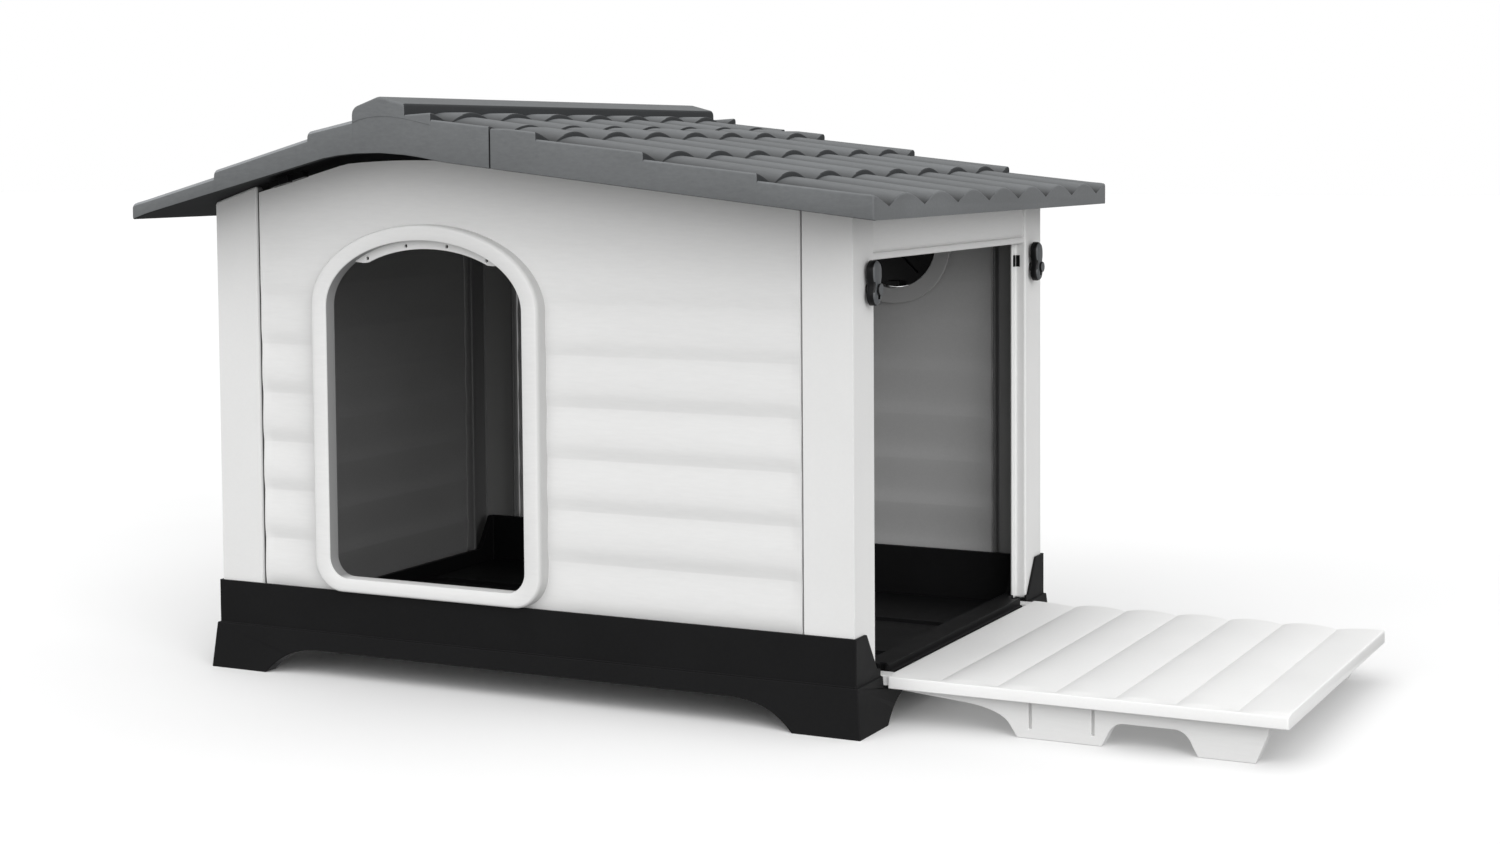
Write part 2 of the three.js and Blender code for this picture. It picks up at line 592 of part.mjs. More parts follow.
function ventDisc() {
  const face = CREST_Y - 6;
  const hub = rodY(face, CREST_Y + 4, VENT_X, VENT_Z, VENT_HUB_R, 16);
  const gripZ = VENT_Z - VENT_BORE_R + GRIP.up;
  const grip = box(VENT_X - GRIP.half, VENT_X + GRIP.half, face - GRIP.out, face + 1, gripZ, gripZ + GRIP.height);
  return piece('vent_disc', slottedPlate(face, VENT_PLATE, 0.5).add(hub).add(grip), BLACK);
}

// Clip that locks the roof to the top edge of a long wall.
function roofClip(name, x, sideY, y, lift) {
  const slope = x < RIDGE_X ? LEFT_TOP.slope : RIGHT_TOP.slope;
  const body = new THREE.BoxGeometry(59, 12, 8);
  const thumb = new THREE.BoxGeometry(16, 9, 11).translate(0, sideY * Math.sign(y - CREST_Y) * 8, 0);
  const mesh = piece(name, solid(body).add(solid(thumb)), BLACK);
  mesh.rotation.y = -Math.atan(slope);
  mesh.position.set(x, sideY * y, topLine(x) + lift);
  return mesh;
}

// ---------------------------------------------------------------- assembly
const house = new THREE.Group();
house.position.x = -MODEL_CENTRE_X;

const outsideWall = CREST_Y + 6 + GAP;
const onWall = CREST_Y - 3;
house.add(
  baseTray(),
  cornerPost('post_front_left', -1, -1),
  cornerPost('post_front_right', 1, -1),
  cornerPost('post_back_left', -1, 1),
  cornerPost('post_back_right', 1, 1),
  frontPanel(),
  archFrame(),
  backPanel(),
  leftEndPanel(),
  lintel('left_lintel', -1, LEFT_LINTEL_TOP_Z),
  lintel('right_lintel', 1, RIGHT_LINTEL_TOP_Z),
  roofHalf('roof_left', -ROOF_HALF_LENGTH, ROOF_JOINT_X - GAP),
  roofHalf('roof_right', ROOF_JOINT_X + GAP, ROOF_HALF_LENGTH),
  ventRing(),
  ventGrille(),
  ventDisc(),
  sideDoor(),
  doorLeg('door_leg_front', -1),
  doorLeg('door_leg_back', 1),
  latch('latch_front', -1),
  latch('latch_back', 1),
  latchPivot('latch_pivot_front', -1),
  latchPivot('latch_pivot_back', 1),
  roofClip('roof_clip_front_left', CLIP_LEFT_X, -1, outsideWall, CLIP_LEFT_LIFT),
  roofClip('roof_clip_back_left', CLIP_LEFT_X, 1, outsideWall, CLIP_LEFT_LIFT),
  roofClip('roof_clip_front_right', CLIP_RIGHT_X, -1, onWall, CLIP_RIGHT_LIFT),
  roofClip('roof_clip_back_right', CLIP_RIGHT_X, 1, onWall, CLIP_RIGHT_LIFT),
);

const model = new THREE.Group();
model.add(house);

export default model;
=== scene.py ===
"""Looks of a moulded plastic kennel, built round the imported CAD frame. Lengths are in metres.

House x is measured in millimetres from the middle of the roof's length, and at() turns it into
the frame's x in metres. y and z are the frame's own.
"""

import json
import math

import bmesh
import bpy
from mathutils import Matrix, Vector


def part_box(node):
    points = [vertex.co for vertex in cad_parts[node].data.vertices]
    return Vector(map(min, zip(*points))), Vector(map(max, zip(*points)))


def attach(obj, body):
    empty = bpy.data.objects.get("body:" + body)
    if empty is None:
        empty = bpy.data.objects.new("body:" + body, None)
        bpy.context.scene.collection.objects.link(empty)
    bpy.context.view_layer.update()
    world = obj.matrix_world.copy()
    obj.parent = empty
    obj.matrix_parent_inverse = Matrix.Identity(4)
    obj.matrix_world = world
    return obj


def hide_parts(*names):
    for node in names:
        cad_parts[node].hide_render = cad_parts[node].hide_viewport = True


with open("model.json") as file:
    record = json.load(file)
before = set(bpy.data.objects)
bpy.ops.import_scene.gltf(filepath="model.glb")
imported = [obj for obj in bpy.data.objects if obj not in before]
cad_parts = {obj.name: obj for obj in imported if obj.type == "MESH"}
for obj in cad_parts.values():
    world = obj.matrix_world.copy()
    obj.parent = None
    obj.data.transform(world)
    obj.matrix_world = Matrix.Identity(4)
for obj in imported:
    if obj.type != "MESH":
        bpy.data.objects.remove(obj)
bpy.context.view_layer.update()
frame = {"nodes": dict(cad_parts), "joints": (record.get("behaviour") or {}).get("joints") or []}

MM = 0.001
TILE_PITCH = 0.108
BODY = "kennel"
ROOF_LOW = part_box("roof_left")[0]
ROOF_HIGH = Vector((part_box("roof_right")[1].x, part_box("roof_left")[1].y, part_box("roof_left")[1].z))
HOUSE_X = (ROOF_LOW.x + ROOF_HIGH.x) / 2


def at(x):
    """House x in millimetres to the frame's x in metres."""
    return HOUSE_X + x * MM


# ------------------------------------------------------------------ node materials


def add_node(tree, kind, **inputs):
    node = tree.nodes.new(kind)
    for name, value in inputs.items():
        node.inputs[name.replace("_", " ")].default_value = value
    return node


def ramp(tree, source, low, high, low_colour, high_colour):
    node = tree.nodes.new("ShaderNodeValToRGB")
    node.color_ramp.elements[0].position = low
    node.color_ramp.elements[0].color = (*low_colour, 1)
    node.color_ramp.elements[1].position = high
    node.color_ramp.elements[1].color = (*high_colour, 1)
    tree.links.new(source, node.inputs["Fac"])
    return node.outputs["Color"]


def grey_range(colour, spread):
    low = tuple(max(0.0, c * (1 - spread)) for c in colour)
    high = tuple(min(1.0, c * (1 + spread)) for c in colour)
    return low, high


def inside_shade_mask(tree, place, half_x, half_y):
    """1 inside an upright box round the cabin and 0 outside it; it places the painted shade on faces inside
    the cabin.
    """
    split = tree.nodes.new("ShaderNodeSeparateXYZ")
    tree.links.new(place.outputs["Object"], split.inputs["Vector"])
    sides = []
    for output, centre, half in (("X", HOUSE_X, half_x), ("Y", 0.0, half_y)):
        offset = tree.nodes.new("ShaderNodeMath")
        offset.operation = "SUBTRACT"
        offset.inputs[1].default_value = centre
        distance = tree.nodes.new("ShaderNodeMath")
        distance.operation = "ABSOLUTE"
        step = tree.nodes.new("ShaderNodeMapRange")
        step.inputs["From Min"].default_value = half
        step.inputs["From Max"].default_value = half - 0.002
        tree.links.new(split.outputs[output], offset.inputs[0])
        tree.links.new(offset.outputs[0], distance.inputs[0])
        tree.links.new(distance.outputs[0], step.inputs["Value"])
        sides.append(step.outputs["Result"])
    both = tree.nodes.new("ShaderNodeMath")
    both.operation = "MULTIPLY"
    tree.links.new(sides[0], both.inputs[0])
    tree.links.new(sides[1], both.inputs[1])
    return both.outputs[0]


def moulded_plastic(
    name,
    colour,
    spread,
    roughness,
    grain_size,
    grain_depth,
    streak=(1, 1, 1),
    coat=0.0,
    specular=0.45,
    inside=None,
    crevice_shade=None,
    lean=None,
    valley=None,
):
    """Injection-moulded plastic: cloudy colour, uneven sheen, fine grain and faint sink marks.

    inside, lean, valley and crevice add tone by place, direction or hollow. They stand in for
    shade, so they belong to this studio light.
    """
    material = bpy.data.materials.new(name)
    material.use_nodes = True
    tree = material.node_tree
    tree.nodes.clear()
    out = tree.nodes.new("ShaderNodeOutputMaterial")
    shader = tree.nodes.new("ShaderNodeBsdfPrincipled")
    shader.inputs["Coat Weight"].default_value = coat
    shader.inputs["Coat Roughness"].default_value = 0.25
    shader.inputs["Specular IOR Level"].default_value = specular
    place = tree.nodes.new("ShaderNodeTexCoord")
    stretch = tree.nodes.new("ShaderNodeMapping")
    stretch.inputs["Scale"].default_value = streak
    tree.links.new(place.outputs["Object"], stretch.inputs["Vector"])

    cloud = add_node(tree, "ShaderNodeTexNoise", Scale=7.0, Detail=4.0, Roughness=0.6)
    fleck = add_node(tree, "ShaderNodeTexNoise", Scale=260.0, Detail=3.0, Roughness=0.7)
    grain = add_node(tree, "ShaderNodeTexNoise", Scale=1.0 / grain_size, Detail=2.0, Roughness=0.6)
    sink = add_node(tree, "ShaderNodeTexNoise", Scale=9.0, Detail=1.0, Roughness=0.4)
    for noise in (cloud, fleck):
        tree.links.new(stretch.outputs["Vector"], noise.inputs["Vector"])
    for noise in (grain, sink):
        tree.links.new(place.outputs["Object"], noise.inputs["Vector"])

    blend = tree.nodes.new("ShaderNodeMix")
    blend.data_type = "FLOAT"
    blend.inputs["Factor"].default_value = 0.45
    tree.links.new(cloud.outputs["Fac"], blend.inputs["A"])
    tree.links.new(fleck.outputs["Fac"], blend.inputs["B"])
    low, high = grey_range(colour, spread)
    colour_out = ramp(tree, blend.outputs["Result"], 0.32, 0.68, low, high)
    # Painted shade: faces inside the box round the cabin take a darker tone.
    if inside:
        inner_shade_colour, half_x, half_y = inside
        tint = tree.nodes.new("ShaderNodeMix")
        tint.data_type = "RGBA"
        tint.inputs["B"].default_value = (*inner_shade_colour, 1)
        tree.links.new(inside_shade_mask(tree, place, half_x, half_y), tint.inputs["Factor"])
        tree.links.new(colour_out, tint.inputs["A"])
        colour_out = tint.outputs["Result"]
    if lean:
        # Painted shade: a darker tone for faces that turn towards +X. It stays with the object in any view.
        lean_shade_tone, full_at = lean
        parts = tree.nodes.new("ShaderNodeSeparateXYZ")
        tree.links.new(place.outputs["Normal"], parts.inputs["Vector"])
        turned = tree.nodes.new("ShaderNodeMapRange")
        turned.inputs["From Min"].default_value = 0.0
        turned.inputs["From Max"].default_value = full_at
        tree.links.new(parts.outputs["X"], turned.inputs["Value"])
        shadow = tree.nodes.new("ShaderNodeMix")
        shadow.data_type = "RGBA"
        shadow.inputs["B"].default_value = (*lean_shade_tone, 1)
        tree.links.new(turned.outputs["Result"], shadow.inputs["Factor"])
        tree.links.new(colour_out, shadow.inputs["A"])
        colour_out = shadow.outputs["Result"]
    if valley:
        # Painted shade: a darker tone in the valleys between the tile barrels, placed by y across the roof.
        pitch, valley_shade = valley
        parts = tree.nodes.new("ShaderNodeSeparateXYZ")
        tree.links.new(place.outputs["Object"], parts.inputs["Vector"])
        phase = tree.nodes.new("ShaderNodeMath")
        phase.operation = "MULTIPLY"
        phase.inputs[1].default_value = math.pi / pitch
        swing = tree.nodes.new("ShaderNodeMath")
        swing.operation = "COSINE"
        height = tree.nodes.new("ShaderNodeMath")
        height.operation = "ABSOLUTE"
        tree.links.new(parts.outputs["Y"], phase.inputs[0])
        tree.links.new(phase.outputs[0], swing.inputs[0])
        tree.links.new(swing.outputs[0], height.inputs[0])
        shade = ramp(tree, height.outputs[0], 0.10, 0.92, (valley_shade,) * 3, (1, 1, 1))
        painted_shade_mix = tree.nodes.new("ShaderNodeMix")
        painted_shade_mix.data_type = "RGBA"
        painted_shade_mix.blend_type = "MULTIPLY"
        painted_shade_mix.inputs["Factor"].default_value = 1.0
        tree.links.new(colour_out, painted_shade_mix.inputs["A"])
        tree.links.new(shade, painted_shade_mix.inputs["B"])
        colour_out = painted_shade_mix.outputs["Result"]
    # Painted shade: ambient occlusion darkens the colour in creases and hollows.
    if crevice_shade:
        reach, darkest = crevice_shade
        hollow = tree.nodes.new("ShaderNodeAmbientOcclusion")
        hollow.samples = 6
        hollow.only_local = True
        hollow.inputs["Distance"].default_value = reach
        shade = ramp(tree, hollow.outputs["AO"], 0.25, 0.85, (darkest,) * 3, (1, 1, 1))
        painted_shade_mix = tree.nodes.new("ShaderNodeMix")
        painted_shade_mix.data_type = "RGBA"
        painted_shade_mix.blend_type = "MULTIPLY"
        painted_shade_mix.inputs["Factor"].default_value = 1.0
        tree.links.new(colour_out, painted_shade_mix.inputs["A"])
        tree.links.new(shade, painted_shade_mix.inputs["B"])
        colour_out = painted_shade_mix.outputs["Result"]
    tree.links.new(colour_out, shader.inputs["Base Color"])

    sheen = tree.nodes.new("ShaderNodeMapRange")
    sheen.inputs["From Min"].default_value = 0.3
    sheen.inputs["From Max"].default_value = 0.7
    sheen.inputs["To Min"].default_value = roughness - 0.06
    sheen.inputs["To Max"].default_value = roughness + 0.08
    tree.links.new(cloud.outputs["Fac"], sheen.inputs["Value"])
    tree.links.new(sheen.outputs["Result"], shader.inputs["Roughness"])

    broad = add_node(tree, "ShaderNodeBump", Strength=0.25, Distance=0.0006)
    fine = add_node(tree, "ShaderNodeBump", Strength=0.5, Distance=grain_depth)
    tree.links.new(sink.outputs["Fac"], broad.inputs["Height"])
    tree.links.new(grain.outputs["Fac"], fine.inputs["Height"])
    tree.links.new(broad.outputs["Normal"], fine.inputs["Normal"])
    tree.links.new(fine.outputs["Normal"], shader.inputs["Normal"])
    tree.links.new(shader.outputs["BSDF"], out.inputs["Surface"])
    return material


GRAIN_FINE = 0.0011
GRAIN_COARSE = 0.0012
GRAIN_LATCH = 0.0009
POST_INNER_X = 0.4685
POST_INNER_X_LEFT = 0.4835
POST_INNER_Y = 0.3245

WHITE_TONE = (0.745, 0.745, 0.74)
# Painted light: the door's tone is a lighter copy of the wall plastic.
DOOR_LIT_TONE = (0.83, 0.83, 0.825)
# Painted shade: a darker copy of the white plastic for the walls' inner faces and the vent ring's inner
# side.
INNER_SHADE_TONE = (0.40, 0.40, 0.40)
# Painted shade: a darker copy for the end wall's inner face.
END_INNER_SHADE_TONE = (0.20, 0.20, 0.20)
# Painted shade: the posts' faces inside the cabin.
POST_INNER_SHADE_TONE = (0.13, 0.13, 0.13)
# Painted shade: darker tones for the entrance's left reveal and the frame's right outer side, by direction.
REVEAL_SHADE_TONE = (0.27, 0.27, 0.27)
SIDE_SHADE_TONE = (0.50, 0.50, 0.495)
WHITE = moulded_plastic(
    "wall_plastic", WHITE_TONE, 0.035, 0.48, GRAIN_FINE, 0.00005, streak=(0.15, 0.15, 1)
)
# Painted shade on the long walls' inner faces.
WHITE_INNER_SHADE = moulded_plastic(
    "wall_plastic_inner", INNER_SHADE_TONE, 0.05, 0.60, GRAIN_FINE, 0.00008, specular=0.3
)
# Posts, lintel and vent ring: painted shade on their faces inside the cabin.
WHITE_POST = moulded_plastic(
    "wall_plastic_post",
    WHITE_TONE,
    0.02,
    0.48,
    GRAIN_FINE,
    0.00005,
    inside=(POST_INNER_SHADE_TONE, POST_INNER_X, POST_INNER_Y),
)
WHITE_POST_LEFT = moulded_plastic(
    "wall_plastic_post_left",
    WHITE_TONE,
    0.02,
    0.48,
    GRAIN_FINE,
    0.00005,
    inside=(POST_INNER_SHADE_TONE, POST_INNER_X_LEFT, POST_INNER_Y),
)
WHITE_RING = moulded_plastic(
    "wall_plastic_ring",
    WHITE_TONE,
    0.02,
    0.48,
    GRAIN_FINE,
    0.00005,
    inside=(INNER_SHADE_TONE, POST_INNER_X, POST_INNER_Y),
)
# Painted light: the door is lighter than the walls of the same plastic.
WHITE_DOOR_LIT = moulded_plastic("wall_plastic_door", DOOR_LIT_TONE, 0.02, 0.48, GRAIN_FINE, 0.00005)
# Painted shade on the end wall's inner face.
WHITE_END_INNER_SHADE = moulded_plastic(
    "wall_plastic_end_inner", END_INNER_SHADE_TONE, 0.05, 0.60, GRAIN_FINE, 0.00008, specular=0.3
)
# Painted shade on the entrance's left reveal.
WHITE_REVEAL_SHADE = moulded_plastic(
    "wall_plastic_reveal",
    WHITE_TONE,
    0.02,
    0.55,
    GRAIN_FINE,
    0.00005,
    specular=0.3,
    lean=(REVEAL_SHADE_TONE, 0.45),
)
# Painted shade on the frame's right outer side.
WHITE_SIDE_SHADE = moulded_plastic(
    "wall_plastic_side",
    WHITE_TONE,
    0.02,
    0.50,
    GRAIN_FINE,
    0.00005,
    specular=0.4,
    lean=(SIDE_SHADE_TONE, 0.85),
)
# Roof plastic: painted shade in its creases, by ambient occlusion.
GREY = moulded_plastic(
    "roof_plastic",
    (0.142, 0.148, 0.152),
    0.14,
    0.52,
    GRAIN_COARSE,
    0.00010,
    streak=(0.35, 1, 1),
    specular=0.20,
    crevice_shade=(0.030, 0.30),
)
# Painted shade in the valleys between the tile barrels.
GREY_TILE_VALLEY_SHADE = moulded_plastic(
    "roof_plastic_tiles",
    (0.155, 0.162, 0.167),
    0.16,
    0.50,
    GRAIN_COARSE,
    0.00010,
    streak=(0.35, 1, 1),
    specular=0.22,
    valley=(TILE_PITCH, 0.10),
)
# Painted shade on the small upright noses at the foot of each tile course.
GREY_NOSE_SHADE = moulded_plastic(
    "roof_plastic_noses", (0.040, 0.042, 0.044), 0.14, 0.60, GRAIN_COARSE, 0.00010, specular=0.15
)
# Painted highlight on the rounded upper rim of the front gable board.
GREY_RIM_HIGHLIGHT = moulded_plastic(
    "roof_plastic_rim", (0.26, 0.27, 0.28), 0.10, 0.45, GRAIN_COARSE, 0.00008
)
# Painted shade: the soffit and the gable boards' inner faces, nearly black.
GREY_UNDER_SHADE = moulded_plastic(
    "roof_plastic_under", (0.014, 0.015, 0.016), 0.12, 0.70, GRAIN_COARSE, 0.00010, specular=0.15
)
BLACK = moulded_plastic(
    "base_plastic", (0.0060, 0.0060, 0.0064), 0.25, 0.50, GRAIN_COARSE, 0.00008, specular=0.14
)
FITTING = moulded_plastic(
    "fitting_plastic", (0.0045, 0.0045, 0.0050), 0.15, 0.34, GRAIN_LATCH, 0.00003, specular=0.22
)
# Painted light: faces of the fittings turned to +X are lighter than their black body.
FITTING_LIT_FACE = moulded_plastic(
    "fitting_plastic_face", (0.085, 0.09, 0.095), 0.15, 0.35, GRAIN_LATCH, 0.00003
)


# ------------------------------------------------------------------ mesh helpers


def tidy(mesh, sharp_degrees=32):
    """Joins doubled points, turns faces outward, and keeps only the sharp edges sharp."""
    bm = bmesh.new()
    bm.from_mesh(mesh)
    bmesh.ops.remove_doubles(bm, verts=bm.verts, dist=2e-6)
    bmesh.ops.dissolve_degenerate(bm, edges=bm.edges, dist=2e-6)
    bmesh.ops.recalc_face_normals(bm, faces=bm.faces)
    limit = math.radians(sharp_degrees)
    for edge in bm.edges:
        edge.smooth = len(edge.link_faces) == 2 and edge.calc_face_angle(0.0) < limit
    for face in bm.faces:
        face.smooth = True
    bm.to_mesh(mesh)
    bm.free()


def place(name, verts, faces, material, body=BODY, replaces=(), sharp=32):
    mesh = bpy.data.meshes.new(name)
    mesh.from_pydata([tuple(v) for v in verts], [], faces)
    tidy(mesh, sharp)
    mesh.materials.append(material)
    piece = bpy.data.objects.new(name, mesh)
    bpy.context.scene.collection.objects.link(piece)
    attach(piece, body)
    if replaces:
        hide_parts(*replaces)
    return piece


def face_look(piece, material, chosen):
    """Gives a second finish to the faces that chosen(centre, normal) picks."""
    piece.data.materials.append(material)
    index = len(piece.data.materials) - 1
    for face in piece.data.polygons:
        if chosen(face.center, face.normal):
            face.material_index = index


def loft(rings):
    """Closed rings of equal length joined by quads, with both ends closed."""
    count = len(rings[0])
    verts = [v for ring in rings for v in ring]
    faces = []
    for i in range(len(rings) - 1):
        a, b = i * count, (i + 1) * count
        faces += [(a + k, a + (k + 1) % count, b + (k + 1) % count, b + k) for k in range(count)]
    faces.append(tuple(range(count))[::-1])
    faces.append(tuple(range((len(rings) - 1) * count, len(rings) * count)))
    return verts, faces


def prism(outline, along, low, high):
    """An outline of (a, b) pairs pushed along axis x, y or z."""
    turn = {
        "x": lambda a, b, d: (d, a, b),
        "y": lambda a, b, d: (a, d, b),
        "z": lambda a, b, d: (a, b, d),
    }[along]
    return loft([[turn(a, b, low) for a, b in outline], [turn(a, b, high) for a, b in outline]])


def merged(*parts):
    verts, faces = [], []
    for more_verts, more_faces in parts:
        start = len(verts)
        verts += list(more_verts)
        faces += [tuple(i + start for i in face) for face in more_faces]
    return verts, faces


def soften(piece, width, segments=3, angle=30):
    """Rounds the piece's edges by a moulder's radius."""
    weld = piece.modifiers.new("weld", "WELD")
    weld.merge_threshold = 2e-6
    bevel = piece.modifiers.new("soft_edges", "BEVEL")
    bevel.width = width
    bevel.segments = segments
    bevel.limit_method = "ANGLE"
    bevel.angle_limit = math.radians(angle)
    bevel.harden_normals = True
    bevel.use_clamp_overlap = True
    return piece


def cut(piece, cutters):
    """Subtracts scratch meshes from a piece and applies the result."""
    for verts, faces in cutters:
        mesh = bpy.data.meshes.new("cutter")
        mesh.from_pydata([tuple(v) for v in verts], [], faces)
        tidy(mesh)
        tool = bpy.data.objects.new("cutter", mesh)
        bpy.context.scene.collection.objects.link(tool)
        modifier = piece.modifiers.new("cut", "BOOLEAN")
        modifier.operation = "DIFFERENCE"
        modifier.solver = "EXACT"
        modifier.object = tool
        graph = bpy.context.evaluated_depsgraph_get()
        result = bpy.data.meshes.new_from_object(piece.evaluated_get(graph))
        piece.modifiers.remove(modifier)
        old = piece.data
        piece.data = result
        bpy.data.meshes.remove(old)
        bpy.data.objects.remove(tool)
        bpy.data.meshes.remove(mesh)
    tidy(piece.data)
    return piece


def cad_look(node, material, width=0.0015, segments=3):
    """Keeps a CAD node as it is, with its material and rounded edges."""
    piece = frame["nodes"][node]
    piece.data.materials.clear()
    piece.data.materials.append(material)
    soften(piece, width, segments)
    return piece


def disc(radius, along, centre, low, high, sides=64):
    turns = [i * math.tau / sides for i in range(sides)]
    a0, b0 = centre
    return prism([(a0 + radius * math.cos(t), b0 + radius * math.sin(t)) for t in turns], along, low, high)


def corner_drop(distance, radius):
    """How far a rounded edge lies below its face, at a distance from the edge."""
    if distance >= radius:
        return 0.0
    return radius - math.sqrt(max(0.0, radius**2 - (radius - distance) ** 2))


# ------------------------------------------------------------------ roof

TILE_START_RISE = 0.0058
TILE_END_RISE = 0.0155
NOSE_RADIUS = 0.0025
RIM_RADIUS_LEFT = 0.0070
RIM_RADIUS_RIGHT = 0.0032
INNER_BARREL_RISE = 0.0035
TOP_POINTS = 165
FASCIA = 0.009
SEAM_X = 27
SEAM_GAP = 2.4
CAP_LEFT, CAP_RIDGE, CAP_RIGHT = -184, -142, -102
ROOF_HALF = ROOF_HIGH.y
LEFT_COURSES = [CAP_LEFT, -256, -412, -555]
RIGHT_COURSES = [CAP_RIGHT, -62, 95, 248, 403, 555]
BOARD_END_X = 549                   # house x where the soffit meets the eave board
ARCH_FROM_X, ARCH_TO_X = -226, -51  # the gable boards' shallow arch
LEFT_FASCIA_SLOPE = 0.2462
RIGHT_FASCIA_SLOPE = 0.1155
LEFT_EAVE_DROP = 0.160
RIGHT_EAVE_DROP = 0.155


def valley_line(x):
    """Height of the tile valleys at house x in millimetres."""
    if x < CAP_RIDGE:
        return ROOF_HIGH.z + (-154.5 + 0.321 * (x + 555)) * MM
    return ROOF_HIGH.z + (-139.5 - 0.1667 * (x - 555)) * MM


def underside_line(x):
    """Height of the plain soffit at house x in millimetres."""
    eave_left, eave_right = ROOF_HIGH.z - LEFT_EAVE_DROP, ROOF_HIGH.z - 0.149
    ridge = ROOF_HIGH.z - 0.030
    if x < CAP_RIDGE:
        return eave_left + (ridge - eave_left) * (x + BOARD_END_X) / (CAP_RIDGE + BOARD_END_X)
    return eave_right + (ridge - eave_right) * (BOARD_END_X - x) / (BOARD_END_X - CAP_RIDGE)


def fascia_bottom(x):
    """Lower edge of the gable boards: two straight runs and a shallow arch under the ridge."""

    def left_run(along):
        return ROOF_HIGH.z - LEFT_EAVE_DROP + LEFT_FASCIA_SLOPE * (along + 555) * MM

    def right_run(along):
        return ROOF_HIGH.z - RIGHT_EAVE_DROP - RIGHT_FASCIA_SLOPE * (along - 555) * MM

    if x <= ARCH_FROM_X:
        return left_run(x)
    if x >= ARCH_TO_X:
        return right_run(x)
    t = (x - ARCH_FROM_X) / (ARCH_TO_X - ARCH_FROM_X)
    start, end = left_run(ARCH_FROM_X), right_run(ARCH_TO_X)
    crown = ROOF_HIGH.z - 0.066
    return start * (1 - t) ** 2 + crown * 2 * t * (1 - t) + end * t**2


def tile_wave(y):
    """1 on a barrel's crest and 0 in a valley."""
    return abs(math.cos(math.pi * y / TILE_PITCH)) ** 0.95


def barrel_boost(y):
    """Barrels away from the gables stand fuller at the head of their course than the edge ones."""
    t = min(1.0, max(0.0, (ROOF_HALF - 0.028 - abs(y)) / 0.03))
    return INNER_BARREL_RISE * t * t * (3 - 2 * t)


def roof_stations(courses, first, last):
    """(x, crest rise, nose drop) from the ridge outward, between two house x values."""
    stations = []
    for start, end in zip(courses, courses[1:]):
        length = abs(end - start)
        way = 1 if end > start else -1
        steps = max(2, round(length / 22))
        along = [length * i / steps for i in range(steps)]
        along += [length - 3, length - 1.6, length - 0.7, length - 0.2, length]
        for d in along:
            x = start + way * d
            if min(first, last) <= x <= max(first, last):
                rise = TILE_START_RISE + (TILE_END_RISE - TILE_START_RISE) * d / length
                stations.append((x, rise, corner_drop((length - d) * MM, NOSE_RADIUS)))
    return stations


def roof_ring(x, rise, drop, sink=0.0, shrink=0.0):
    """Section across the roof at house x: tiles on top, a gable board at each end, plain soffit."""
    fine = TILE_PITCH / 20
    edge = [0.0, 0.0003, 0.0010, 0.0020, 0.0033]
    rim = RIM_RADIUS_LEFT if x < CAP_RIDGE else RIM_RADIUS_RIGHT
    ys = [-ROOF_HALF + e for e in edge] + [i * fine for i in range(-77, 78)]
    ys += [ROOF_HALF - e for e in reversed(edge)]
    half = ROOF_HALF - shrink
    valley = valley_line(x)
    ring = []
    for y in ys:
        wave = tile_wave(y)
        boost = barrel_boost(y) * (TILE_END_RISE - rise) / (TILE_END_RISE - TILE_START_RISE)
        top = valley + (rise + boost - drop - sink) * wave - corner_drop(ROOF_HALF - abs(y), rim)
        ring.append((at(x), y * half / ROOF_HALF, top))
    low = min(fascia_bottom(x), underside_line(x))
    soffit = underside_line(x) if abs(x) < BOARD_END_X else low
    r = 0.0022
    board = [(half, low + r), (half - 0.0006, low + 0.0006), (half - r, low), (half - FASCIA, low)]
    ring += [(at(x), y, z) for y, z in board]
    ring += [(at(x), half - FASCIA, soffit), (at(x), -half + FASCIA, soffit)]
    ring += [(at(x), -y, z) for y, z in reversed(board)]
    return ring


def eave_rounding(rings_from, x_edge, way):
    """Closing sections that round the eave's upright edge."""
    rise = TILE_END_RISE
    rings = []
    for back, shrink in ((2.6, 0.0), (1.4, 0.0003), (0.6, 0.0008), (0.15, 0.0016), (0.0, 0.0024)):
        rings.append(roof_ring(x_edge - way * back, rise, shrink * 1.3, shrink=shrink))
    return rings_from + rings


def under_roof(centre, normal):
    """The soffit and the inner faces of the gable boards."""
    return normal.z < -0.5 or abs(centre.y) < ROOF_HALF - 0.005 and normal.z < 0.1 and abs(normal.y) > 0.9


def on_tiles(centre, normal):
    """Upper faces of the tile courses, the plain capping left out."""
    x = (centre.x - HOUSE_X) / MM
    return normal.z > 0.5 and not CAP_LEFT <= x <= CAP_RIGHT


def on_noses(centre, normal):
    """Small upright faces at the lower end of each tile course."""
    x = (centre.x - HOUSE_X) / MM
    return abs(normal.x) > 0.5 and normal.z < 0.87 and abs(x) < 548 and centre.z > valley_line(x) - 0.002


def on_left_rim(centre, normal):
    """Rounded upper edge of the front gable board, left of the capping."""
    x = (centre.x - HOUSE_X) / MM
    return x < CAP_LEFT and normal.y < -0.35 and normal.z > 0.25 and centre.y < -ROOF_HALF + 0.004


def roof_looks(piece):
    # Painted shade on the tile valleys, the noses and the underside; painted highlight on the left rim.
    face_look(piece, GREY_TILE_VALLEY_SHADE, on_tiles)
    face_look(piece, GREY_NOSE_SHADE, on_noses)
    face_look(piece, GREY_RIM_HIGHLIGHT, on_left_rim)
    face_look(piece, GREY_UNDER_SHADE, under_roof)


